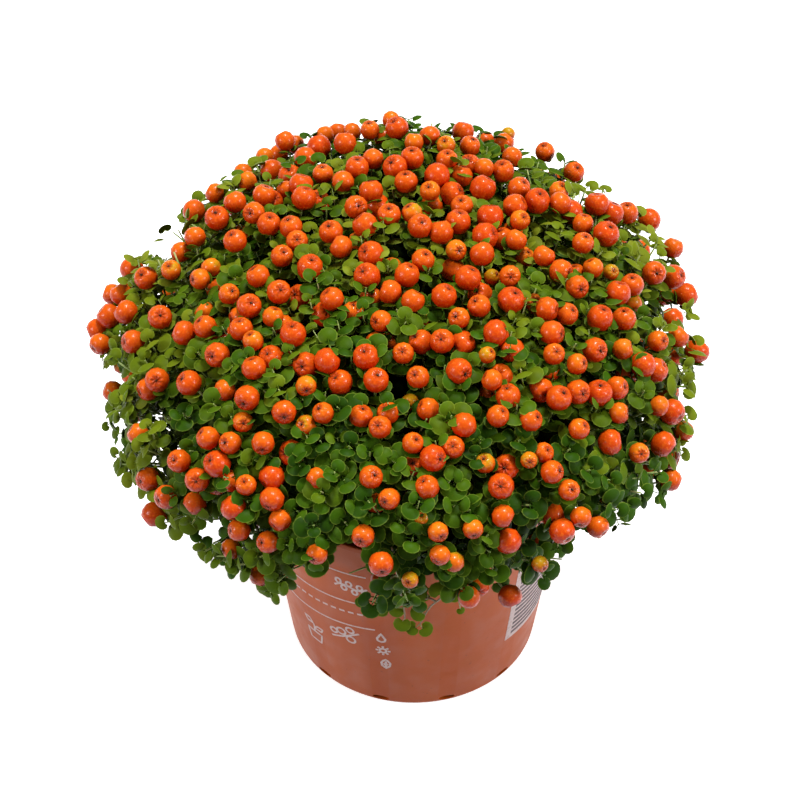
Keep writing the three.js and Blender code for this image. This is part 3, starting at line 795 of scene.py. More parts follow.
def makePot():
    rimBase = pot["height"] - pot["rimHeight"]
    wall, rise, inside, outside = pot["wall"], pot["channelRise"], pot["channelInside"], pot["channelOutside"]
    lip = wall / 3
    profile = roundedProfile([
        [0, 0, 0],
        [inside, 0, 0.6],
        [inside + rise, rise, 0.6],
        [outside - rise, rise, 0.6],
        [outside, 0, 0.6],
        [pot["footRadius"], 0, 2 * pot["footRounding"]],
        [wallRadius(rimBase), rimBase, 0.35],
        [pot["rimRadius"], rimBase, 0.35],
        [pot["rimRadius"], pot["height"], 0.6],
        [wallRadius(rimBase) - wall, pot["height"], 0.5],
        [wallRadius(wall) - wall, wall, 1.2],
        [outside + lip, wall, 0.5],
        [outside - rise + lip, wall + rise, 0.5],
        [inside + rise - lip, wall + rise, 0.5],
        [inside - lip, wall, 0.5],
        [0, wall, 0],
    ])
    piece = turned("nurseryPot", profile, pot["sides"])
    grow(piece, makeSlotsTree(), **{
        "Count": pot["slots"], "Radius": pot["footRadius"] * mm, "Width": pot["slotWidth"] * mm,
        "Height": pot["slotHeight"] * mm, "Depth": pot["slotDepth"] * mm,
        "Level": (wall + pot["slotLift"] + pot["slotHeight"] / 2) * mm, "Finish": potFinish})
    smoothBySide(applied(piece))
    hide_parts("pot")
    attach(piece, "root")


# The print: plain lines, pictograms and a striped panel. Places are degrees round from the front, and height.
printForm = {
    "lines": [(-52, 75, -17.5, 78, 0.65), (-56, 56.5, -15, 61.5, 0.65), (-63, 40.3, -15.5, 46.9, 0.65)],
    "icons": [(-13.2, 42.5, 5.2, "drop"), (-12.7, 34.5, 5.6, "sun"), (-11.8, 26, 5.6, "leaf")],
    "drawings": [(-46.3, 29, 12.5, "sprout"), (-29.1, 37.5, 12, "bough"), (-24, 69.5, 13, "garland")],
    "dashes": (-58, 49.2, -19, 54.6, 10),
    "panel": {"from": 42, "to": 85, "low": 25, "high": 75, "stripes": 17, "share": 0.55, "margin": 1.8,
              "inset": 3, "raised": 0.05},
    "lift": 0.07, "sunk": 0.05, "stroke": 0.85, "step": 1.2,
}


def circlePath(x, y, radius, squash=1.0, steps=22):
    turns = [math.radians(360 * k / steps) for k in range(steps + 1)]
    return [(x + radius * math.cos(t), y + radius * squash * math.sin(t)) for t in turns]


# Each drawing fits a square of side 1 about the origin.
leafHalf = [(0, -0.5), (0.26, -0.22), (0.3, 0.1), (0.16, 0.36), (0, 0.5)]
leafPath = leafHalf + [(-x, y) for x, y in leafHalf[-2::-1]]
dropHalf = [(0, 0.5), (0.17, 0.14), (0.3, -0.12), (0.26, -0.36), (0, -0.5)]
boughFruit = [(-0.12, 0.14, 0.15), (0.2, -0.12, 0.15), (0.2, 0.36, 0.13), (-0.4, 0.02, 0.12)]
garlandLeaves = [
    (-0.36, 0.15, 0.08), (-0.2, -0.1, 0.08), (-0.04, 0.14, 0.08), (0.12, -0.17, 0.08), (0.28, 0.1, 0.08),
    (0.42, -0.08, 0.07),
]
sunRays = [(math.cos(k * math.pi / 4), math.sin(k * math.pi / 4)) for k in range(8)]
drawings = {
    "drop": [dropHalf + [(-x, y) for x, y in dropHalf[-2::-1]]],
    "sun": [circlePath(0, 0, 0.22)] + [[(0.32 * x, 0.32 * y), (0.5 * x, 0.5 * y)] for x, y in sunRays],
    "leaf": [leafPath, [(0, -0.5), (0, 0.3)], [(0, -0.15), (0.15, 0.02)], [(0, -0.15), (-0.15, 0.02)]],
    "sprout": [
        [(-0.3, -0.08), (-0.22, -0.5), (0.22, -0.5), (0.3, -0.08), (-0.3, -0.08)],
        [(0, -0.08), (0.02, 0.14), (0, 0.3)],
        [(0, 0.1), (0.16, 0.26), (0.38, 0.28), (0.3, 0.1), (0, 0.1)],
        [(0, 0.3), (-0.14, 0.48), (-0.36, 0.46), (-0.26, 0.28), (0, 0.3)],
    ],
    "bough": [[(-0.5, -0.3), (-0.1, -0.12), (0.5, 0.32)]] + [circlePath(*fruit) for fruit in boughFruit],
    "garland": [
        [(-0.5, -0.1), (-0.34, 0.02), (-0.17, 0.05), (0, 0), (0.17, -0.05), (0.34, -0.02), (0.5, 0.1)],
    ] + [circlePath(*leaf, squash=1.3) for leaf in garlandLeaves],
}


def onWall(angle, height, lift):
    turn, radius = math.radians(angle), wallRadius(height) + lift
    return (radius * math.sin(turn), -radius * math.cos(turn), height)


class InkMesh:
    # raised strokes that follow the wall
    def __init__(self):
        self.points, self.faces = [], []

    def stroke(self, path, width, lift):
        # the path is in degrees and millimetres of height
        scale, sunk = math.radians(1) * wallRadius(path[0][1]), printForm["sunk"]
        flat = [Vector((a * scale, z)) for a, z in path]
        fine = [flat[0]]
        for a, b in zip(flat, flat[1:]):
            count = max(1, math.ceil((b - a).length / printForm["step"]))
            fine += [a.lerp(b, (k + 1) / count) for k in range(count)]
        closed = (fine[0] - fine[-1]).length < 1e-6
        if closed:
            fine.pop()
        count, start = len(fine), len(self.points)
        for i, p in enumerate(fine):
            before = fine[i - 1] if i or closed else p
            after = fine[(i + 1) % count] if i < count - 1 or closed else p
            ahead = (after - before).normalized()
            side = Vector((-ahead.y, ahead.x)) * width / 2
            for offset, rise in ((side, lift), (-side, lift), (-side, -sunk), (side, -sunk)):
                self.points.append(onWall((p + offset).x / scale, (p + offset).y, rise))
        last = count if closed else count - 1
        for i in range(last):
            a, b = start + 4 * i, start + 4 * ((i + 1) % count)
            self.faces += [(a + k, a + (k + 1) % 4, b + (k + 1) % 4, b + k) for k in range(4)]
        if not closed:
            end = start + 4 * (count - 1)
            self.faces += [(start + 3, start + 2, start + 1, start), (end, end + 1, end + 2, end + 3)]

    def finished(self, name, finish):
        piece = meshObject(name, self.points, self.faces)
        shape = bmesh.new()
        shape.from_mesh(piece.data)
        bmesh.ops.recalc_face_normals(shape, faces=shape.faces[:])
        shape.to_mesh(piece.data)
        shape.free()
        piece.data.materials.append(finish)
        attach(piece, "root")
        return smoothBySide(piece)


def makePrint():
    pale, dark, lift = InkMesh(), InkMesh(), printForm["lift"]
    for a0, z0, a1, z1, width in printForm["lines"]:
        pale.stroke([(a0, z0), (a1, z1)], width, lift)
    for angle, height, size, name in printForm["icons"] + printForm["drawings"]:
        scale = math.radians(1) * wallRadius(height)
        for path in drawings[name]:
            places = [(angle + size * x / scale, height + size * y) for x, y in path]
            pale.stroke(places, printForm["stroke"], lift)
    a0, z0, a1, z1, count = printForm["dashes"]
    for k in range(count):
        places = [(a0 + (a1 - a0) * t, z0 + (z1 - z0) * t) for t in ((k + 0.15) / count, (k + 0.75) / count)]
        pale.stroke(places, printForm["stroke"], lift)
    panel = printForm["panel"]
    middle, tall = (panel["low"] + panel["high"]) / 2, panel["high"] - panel["low"]
    pale.stroke([(panel["from"], middle), (panel["to"], middle)], tall, lift)
    pitch = (tall - 2 * panel["margin"]) / panel["stripes"]
    for i in range(panel["stripes"]):
        height = panel["low"] + panel["margin"] + (i + 0.5) * pitch
        places = [(panel["from"] + panel["inset"], height), (panel["to"] - panel["inset"], height)]
        dark.stroke(places, pitch * panel["share"], lift + panel["raised"])
    pale.finished("palePrint", paleInk)
    dark.finished("darkStripes", darkInk)


# The root ball's top: peat, a little uneven, with loose crumbs on it.
soilForm = {
    "top": 85, "lump": 0.9, "grain": 0.9, "grainSize": 2.4, "rings": 26, "sides": 120, "clear": 0.7,
    "lift": 0.35, "crumbs": 420, "crumbSize": 1.3, "area": 0.0093, "seed": 8,
}


def soilHeight(x, y):
    bump = math.sin(x / 6) * math.cos(y / 7) + math.sin((x + y) / 11)
    grain = soilForm["grain"] * noise.noise(Vector((x, y, 0)) / soilForm["grainSize"])
    return soilForm["top"] + soilForm["lump"] * bump + grain


def soilRadius(height):
    return wallRadius(height) - pot["wall"] - soilForm["clear"]


def makeCrumbsTree():
    tree, given = newTree("peatCrumbs", [
        ("Geometry", "Geometry", None), ("Count", "Int", 400), ("Area", "Float", 0.01),
        ("Size", "Float", 0.0013), ("Seed", "Int", 1), ("Level", "Float", 0.08),
        ("Finish", "Material", None)])
    normal = addNode(tree, "GeometryNodeInputNormal").outputs[0]
    upright = addNode(tree, "ShaderNodeSeparateXYZ", {0: normal}).outputs[2]
    position = addNode(tree, "GeometryNodeInputPosition").outputs[0]
    height = addNode(tree, "ShaderNodeSeparateXYZ", {0: position}).outputs[2]
    isFlat, isHigh = [
        addNode(tree, "FunctionNodeCompare", {0: value, 1: least}, data_type="FLOAT",
            operation="GREATER_THAN").outputs[0]
        for value, least in ((upright, 0.5), (height, given["Level"]))]
    isTop = addNode(tree, "FunctionNodeBooleanMath", {0: isFlat, 1: isHigh}, operation="AND").outputs[0]
    density = addNode(tree, "ShaderNodeMath", {0: given["Count"], 1: given["Area"]},
        operation="DIVIDE").outputs[0]
    spots = addNode(tree, "GeometryNodeDistributePointsOnFaces",
        {"Mesh": given["Geometry"], "Selection": isTop, "Density": density, "Seed": given["Seed"]}).outputs[0]
    crumb = addNode(tree, "GeometryNodeMeshIcoSphere",
        {"Radius": given["Size"], "Subdivisions": 1}).outputs[0]
    size = addNode(tree, "FunctionNodeRandomValue", {0: (0.4, 0.4, 0.25), 1: (1.3, 1.0, 0.8), 8: 2},
        data_type="FLOAT_VECTOR").outputs[0]
    turn = addNode(tree, "FunctionNodeRandomValue", {0: (0, 0, 0), 1: (3, 3, 6.28), 8: 3},
        data_type="FLOAT_VECTOR").outputs[0]
    copies = addNode(tree, "GeometryNodeInstanceOnPoints",
        {"Points": spots, "Instance": crumb, "Scale": size, "Rotation": turn}).outputs[0]
    whole = addNode(tree, "GeometryNodeJoinGeometry")
    for source in (given["Geometry"], copies):
        tree.links.new(source, whole.inputs[0])
    real = addNode(tree, "GeometryNodeRealizeInstances", {"Geometry": whole.outputs[0]}).outputs[0]
    painted = addNode(tree, "GeometryNodeSetMaterial",
        {"Geometry": real, "Material": given["Finish"]}).outputs[0]
    addNode(tree, "NodeGroupOutput", {0: painted})
    return tree


def makeSoil():
    top, rings = soilForm["top"], soilForm["rings"]
    bottom = pot["wall"] + pot["channelRise"] + soilForm["lift"]
    profile = [Vector((0, bottom)), Vector((soilRadius(bottom), bottom))]
    profile += [Vector((soilRadius(h), h)) for h in (30, 60, top - 0.5)]
    profile += [Vector((soilRadius(top) * (1 - k / rings), top)) for k in range(rings)]
    profile.append(Vector((0, top)))
    piece = turned("peat", profile, soilForm["sides"])
    for corner in piece.data.vertices:
        if corner.co.z > (top - 0.2) * mm:
            corner.co.z = soilHeight(corner.co.x / mm, corner.co.y / mm) * mm
    grow(piece, makeCrumbsTree(), **{
        "Count": soilForm["crumbs"], "Area": soilForm["area"], "Size": soilForm["crumbSize"] * mm,
        "Seed": soilForm["seed"], "Level": (top - 4) * mm, "Finish": soilFinish})
    applied(piece)
    smoothBySide(piece, 50)
    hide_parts("soil")
    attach(piece, "root")


makePot()
makePrint()
makeSoil()
print("pot, print and soil made")


# A kidney-shaped blade on its short stalk, sizes in mm. It droops at its edge by "cup".
leafForm = {
    "width": 7.0, "length": 6.3, "notch": 0.24, "cup": 0.95, "thickness": 0.6, "edge": 12,
    "innerRing": 0.58, "petiole": 0.9, "petioleRadius": 0.24, "petioleEnd": 0.2, "tuck": 0.4,
}
# How far the edge lies from the middle, from the notch round to the tip in twelfths of a turn, as a share.
leafEdge = [0.5, 0.93, 1.03, 1.01, 0.99, 0.98, 0.97]
# A leafy sprig and the stalk under a berry, in mm from the tip or the berry's middle. Their leaf pairs are
# each a distance below that, a size and a tilt in degrees.
sprigForm = {
    "length": 19, "tip": 0.3, "berryFoot": -3.6, "rootRadius": 0.546, "tipRadius": 0.252,
    "berryRadius": 0.42, "kinds": 6, "berryKinds": 4, "seed": 5, "leafTilt": 14,
    "pairs": [(0, 0.8, 26), (2.4, 1.0, 12), (6.0, 1.05, 2)],
    "stalkPairs": [(4.7, 0.82, 32), (7.6, 1.0, 16), (11.5, 1.0, 8)],
}


class SprigMesh:
    # gathers the blades and stems of one sprig, with what the finishes need to know of each corner
    def __init__(self):
        self.points, self.faces, self.uvs, self.age, self.isStem, self.rims = [], [], [], [], [], []

    def add(self, points, faces, uvs, age, stem, rim=()):
        start = len(self.points)
        self.points += [tuple(p) for p in points]
        self.faces += [tuple(start + i for i in face) for face in faces]
        self.uvs += uvs
        self.age += [age] * len(points)
        self.isStem += [stem] * len(points)
        self.rims += [(start + a, start + b) for a, b in rim]

    def blade(self, root, along, facing, scale, age):
        count, half = leafForm["edge"], leafForm["edge"] // 2
        wide, long = leafForm["width"] * scale / 2, leafForm["length"] * scale / 2
        across = along.cross(facing).normalized()
        normal = across.cross(along).normalized()
        flat = []
        for ringCount, reach in ((count, 1), (half, leafForm["innerRing"])):
            for k in range(ringCount):
                turn = 2 * math.pi * k / ringCount
                radial = reach * leafEdge[min(k, ringCount - k) * (count // ringCount)]
                flat.append((radial * math.sin(turn), -radial * math.cos(turn), reach))
        flat += [(0, 0, 0), (0, 0, 0)]
        points, uvs = [], []
        for i, (x, y, reach) in enumerate(flat):
            thick = leafForm["thickness"] / 2 * (1 - reach * reach)
            drop = -leafForm["cup"] * scale * (x * x + y * y)
            z = drop + (-thick if i == len(flat) - 1 else thick)
            points.append(root + across * (x * wide) + along * (y * long + long) + normal * z)
            uvs.append((0.5 + 0.5 * x, 0.5 + 0.5 * y))
        top, under = count + half, count + half + 1
        faces = []
        for k in range(half):
            inner, nextInner = count + k, count + (k + 1) % half
            outer = 2 * k
            faces.append((outer, (outer + 1) % count, inner))
            faces.append(((outer + 1) % count, nextInner, inner))
            faces.append(((outer + 1) % count, (outer + 2) % count, nextInner))
            faces.append((inner, nextInner, top))
        for k in range(count):
            faces.append(((k + 1) % count, k, under))
        rim = [(k, (k + 1) % count) for k in range(count)]
        self.add(points, faces, uvs, age, 0.0, rim)

    def stem(self, route, radius, endRadius, sides=5, age=0.1, isStem=1.0):
        # a tapering tube along a list of points
        count, points = len(route), []
        side = (route[1] - route[0]).normalized().orthogonal().normalized()
        for i, p in enumerate(route):
            ahead = (route[min(i + 1, count - 1)] - route[max(i - 1, 0)]).normalized()
            side = (side - ahead * side.dot(ahead)).normalized()
            other = ahead.cross(side)
            size = radius + (endRadius - radius) * i / (count - 1)
            for k in range(sides):
                turn = 2 * math.pi * k / sides
                points.append(p + (side * math.cos(turn) + other * math.sin(turn)) * size)
        faces = []
        for i in range(count - 1):
            a, b = i * sides, (i + 1) * sides
            faces += [(a + k, a + (k + 1) % sides, b + (k + 1) % sides, b + k) for k in range(sides)]
        faces += [tuple(range(sides - 1, -1, -1)), tuple(range((count - 1) * sides, count * sides))]
        self.add(points, faces, [(0.5, 0.5)] * len(points), age, isStem)

    def leaf(self, node, ahead, facing, scale, age):
        # a blade on its short stalk, which ends under the blade, past its notch
        root = node + ahead * leafForm["petiole"] * scale
        end = root + ahead * leafForm["length"] * scale * leafForm["notch"]
        self.blade(root - ahead * leafForm["tuck"], ahead, facing, scale, age)
        self.stem([node, end], leafForm["petioleRadius"], leafForm["petioleEnd"], 3, 0.2, 0.0)

    def pair(self, node, along, facing, scale, tilt, age):
        # two leaves to opposite sides of a stem
        for side in (1, -1):
            ahead = (along * side * math.cos(tilt) + facing * math.sin(tilt)).normalized()
            self.leaf(node, ahead, facing, scale, age)

    def finished(self, name):
        piece = meshObject(name, self.points, self.faces)
        mesh = piece.data
        layer = mesh.uv_layers.new(name="leafMap")
        for loop in mesh.loops:
            layer.data[loop.index].uv = self.uvs[loop.vertex_index]
        mesh.attributes.new("age", "FLOAT", "POINT").data.foreach_set("value", self.age)
        mesh.attributes.new("stemPart", "FLOAT", "POINT").data.foreach_set("value", self.isStem)
        rims = {tuple(sorted(pair)) for pair in self.rims}
        sharp = [tuple(sorted(edge.vertices)) in rims for edge in mesh.edges]
        mesh.attributes.new("sharp_edge", "BOOLEAN", "EDGE").data.foreach_set("value", sharp)
        return smooth(piece)


def upLeaf(sprig, node, turn, tilt, scale, age):
    # a leaf of an upright sprig, by the way it points
    outward = Vector((math.cos(turn), math.sin(turn), 0))
    sprig.leaf(node, outward * math.cos(tilt) + Vector((0, 0, math.sin(tilt))), Vector((0, 0, 1)), scale, age)


def makeLeafSprig(name, draw):
    # decussate pairs: small and upright at the tip, larger and flatter below
    sprig = SprigMesh()
    lean = Vector((draw.uniform(-0.12, 0.12), draw.uniform(-0.12, 0.12), 1))
    first = draw.uniform(0, math.pi)
    for k, (drop, scale, tilt) in enumerate(sprigForm["pairs"]):
        node = lean * -(drop + draw.uniform(-0.4, 0.4))
        for side in (0, 1):
            turn = first + k * math.pi / 2 + side * math.pi + draw.uniform(-0.25, 0.25)
            leafTilt = math.radians(tilt + draw.uniform(-sprigForm["leafTilt"], sprigForm["leafTilt"]))
            size, age = scale * draw.uniform(0.82, 1.12), k / 2 * draw.uniform(0.6, 1.0)
            upLeaf(sprig, node, turn, leafTilt, size, age)
    route = [lean * -sprigForm["length"], lean * sprigForm["tip"]]
    sprig.stem(route, sprigForm["rootRadius"], sprigForm["tipRadius"], 4, 0.2)
    return sprig.finished(name)


def makeBerryStalk(name, draw):
    # the stalk under a berry whose middle is at the origin, with its leaf pairs
    sprig = SprigMesh()
    lean = Vector((draw.uniform(-0.1, 0.1), draw.uniform(-0.1, 0.1), 1))
    first = draw.uniform(0, math.pi)
    for k, (drop, scale, tilt) in enumerate(sprigForm["stalkPairs"]):
        for side in (0, 1):
            turn = first + k * math.pi / 2 + side * math.pi + draw.uniform(-0.3, 0.3)
            leafTilt = math.radians(tilt + draw.uniform(-sprigForm["leafTilt"], sprigForm["leafTilt"]))
            upLeaf(sprig, lean * -drop, turn, leafTilt, scale * draw.uniform(0.85, 1.12), 0.2 + 0.35 * k)
    route = [lean * -sprigForm["length"], lean * sprigForm["berryFoot"]]
    sprig.stem(route, sprigForm["rootRadius"], sprigForm["berryRadius"], 4, 0.2)
    return sprig.finished(name)


# A berry 8.4 mm across, with a dimple at its tip. Its profile is [radius, height] in mm from the tip down.
berryForm = {
    "profile": [(1.2, 3.4), (2.5, 3.3), (3.75, 1.9), (4.2, -0.1), (3.5, -2.35), (1.3, -3.85)],
    "pit": 2.5, "sides": 12, "calyxHeight": 1.0, "calyxSunk": 0.3, "calyxNotch": 0.35, "uneven": 0.015,
}


def makeBerry(name, draw):
    sides, tall = berryForm["sides"], draw.uniform(0.95, 1.04)
    pit = berryForm["pit"] * tall + draw.uniform(-0.25, 0.15)
    teeth = draw.choice((4, 5, 5, 6))
    calyxRadius = draw.uniform(0.5, 0.95)
    uneven = berryForm["uneven"]
    profile = [
        (radius * draw.uniform(1 - uneven, 1 + uneven), height * tall)
        for radius, height in berryForm["profile"]]
    points, faces, uvs = [], [], []
    for radius, height in profile:
        for k in range(sides):
            turn = 2 * math.pi * k / sides
            points.append((radius * math.cos(turn), radius * math.sin(turn), height))
    points.append((0, 0, pit))
    last = len(profile) - 1
    for ring in range(last):
        for k in range(sides):
            a, b = ring * sides + k, ring * sides + (k + 1) % sides
            u0, u1, v0, v1 = k / sides, (k + 1) / sides, ring / last, (ring + 1) / last
            faces.append((a, a + sides, b + sides, b))
            uvs.append([(u0, v0), (u0, v1), (u1, v1), (u1, v0)])
    for k in range(sides):
        n = (k + 1) % sides
        faces.append((k, n, len(points) - 1))
        uvs.append([(k / sides, 0), ((k + 1) / sides, 0), ((k + 0.5) / sides, 0)])
    faces.append([last * sides + k for k in range(sides - 1, -1, -1)])
    uvs.append([(0.5, 1)] * sides)
    calyx = [0.0] * len(points)
    # dry teeth in the dimple
    start = len(points)
    for k in range(2 * teeth):
        turn = math.pi * k / teeth
        radius = calyxRadius * (draw.uniform(0.7, 1.3) if k % 2 == 0 else berryForm["calyxNotch"])
        lift = berryForm["calyxHeight"] * (1 if k % 2 == 0 else 0.5)
        points.append((radius * math.cos(turn), radius * math.sin(turn), pit + lift))
    points.append((0, 0, pit - berryForm["calyxSunk"]))
    for k in range(2 * teeth):
        faces.append((start + (k + 1) % (2 * teeth), start + k, len(points) - 1))
        uvs.append([(0, 0)] * 3)
    faces.append([start + k for k in range(2 * teeth)])
    uvs.append([(0, 0)] * (2 * teeth))
    calyx += [1.0] * (len(points) - len(calyx))
    piece = meshObject(name, points, faces)
    mesh = piece.data
    layer = mesh.uv_layers.new(name="skinMap")
    for polygon, corners in zip(mesh.polygons, uvs):
        for loop, uv in zip(polygon.loop_indices, corners):
            layer.data[loop].uv = uv
    mesh.attributes.new("calyxPart", "FLOAT", "POINT").data.foreach_set("value", calyx)
    return smooth(piece)


def gather(name, pieces):
    # a collection of sources to be repeated, out of the scene's own collection
    group = bpy.data.collections.new(name)
    for piece in pieces:
        bpy.context.collection.objects.unlink(piece)
        group.objects.link(piece)
    return group


draw = random.Random(sprigForm["seed"])
leafSprigs = gather("leafSprigs", [makeLeafSprig(f"leafSprig{i}", draw) for i in range(sprigForm["kinds"])])
berryStalks = gather("berryStalks",
    [makeBerryStalk(f"berryStalk{i}", draw) for i in range(sprigForm["berryKinds"])])
berryKinds = gather("berries", [makeBerry(f"berry{i}", draw) for i in range(sprigForm["berryKinds"])])
print("sprigs made")


planting = {
    "berryGap": 7.3 * mm,       # between berries' middles
    "berryDensity": 45000.0,    # tried per square metre of dome, before those closer than the gap go
    "berrySeed": 34,
    "apart": 6.6 * mm,          # from the placed berries
    "leafGap": 5.8 * mm,
    "leafDensity": 26000.0, "leafSeed": 21,
    "clear": 3.3 * mm,          # leaf sprigs this near a berry's stalk are left out
    "berryLow": -9.5 * mm,      # how deep or proud of the dome the berries stand
    "berryHigh": -1.0 * mm,
    "leafLow": -8.5 * mm,
    "leafHigh": 0.0 * mm,
    "innerGap": 7.6 * mm,       # older leaves further in
    "innerLow": -19.0 * mm,
    "innerHigh": -11.0 * mm,
    "deepGap": 13.0 * mm,       # berries half hidden below the others
    "deepDensity": 9000.0,
    "deepClear": 5.0 * mm,
    "deepLow": -14.0 * mm,
    "deepHigh": -10.0 * mm,
}


def makeSpotsTree():
    # where the berries are: the same spots for their stalks, for the balls, and for keeping leaves clear
    tree, given = newTree("berrySpots", [
        ("Geometry", "Geometry", None), ("Placed", "Object", None), ("Apart", "Float", 0.007),
        ("Gap", "Float", 0.008), ("Density", "Float", 9000.0), ("Seed", "Int", 1)])
    richness = addNode(tree, "GeometryNodeInputNamedAttribute", {"Name": "rich"},
        data_type="FLOAT").outputs[0]
    spots = addNode(tree, "GeometryNodeDistributePointsOnFaces", {
        "Mesh": given["Geometry"], "Distance Min": given["Gap"], "Density Max": given["Density"],
        "Density Factor": richness, "Seed": given["Seed"]}, distribute_method="POISSON")
    kept = addNode(tree, "GeometryNodeStoreNamedAttribute", {
        "Geometry": spots.outputs["Points"], "Name": "outward", "Value": spots.outputs["Normal"]},
        data_type="FLOAT_VECTOR", domain="POINT").outputs[0]
    source = addNode(tree, "GeometryNodeObjectInfo", {"Object": given["Placed"]}).outputs["Geometry"]
    placed = addNode(tree, "GeometryNodeMeshToPoints", {"Mesh": source}).outputs[0]
    near = addNode(tree, "GeometryNodeProximity", {0: placed}, target_element="POINTS").outputs["Distance"]
    crowded = addNode(tree, "FunctionNodeCompare", {0: near, 1: given["Apart"]}, data_type="FLOAT",
        operation="LESS_THAN").outputs[0]
    clear = addNode(tree, "GeometryNodeDeleteGeometry", {"Geometry": kept, "Selection": crowded},
        domain="POINT").outputs[0]
    whole = addNode(tree, "GeometryNodeJoinGeometry")
    for source in (clear, placed):
        tree.links.new(source, whole.inputs[0])
    addNode(tree, "NodeGroupOutput", {0: whole.outputs[0]})
    return tree


spotsTree = makeSpotsTree()


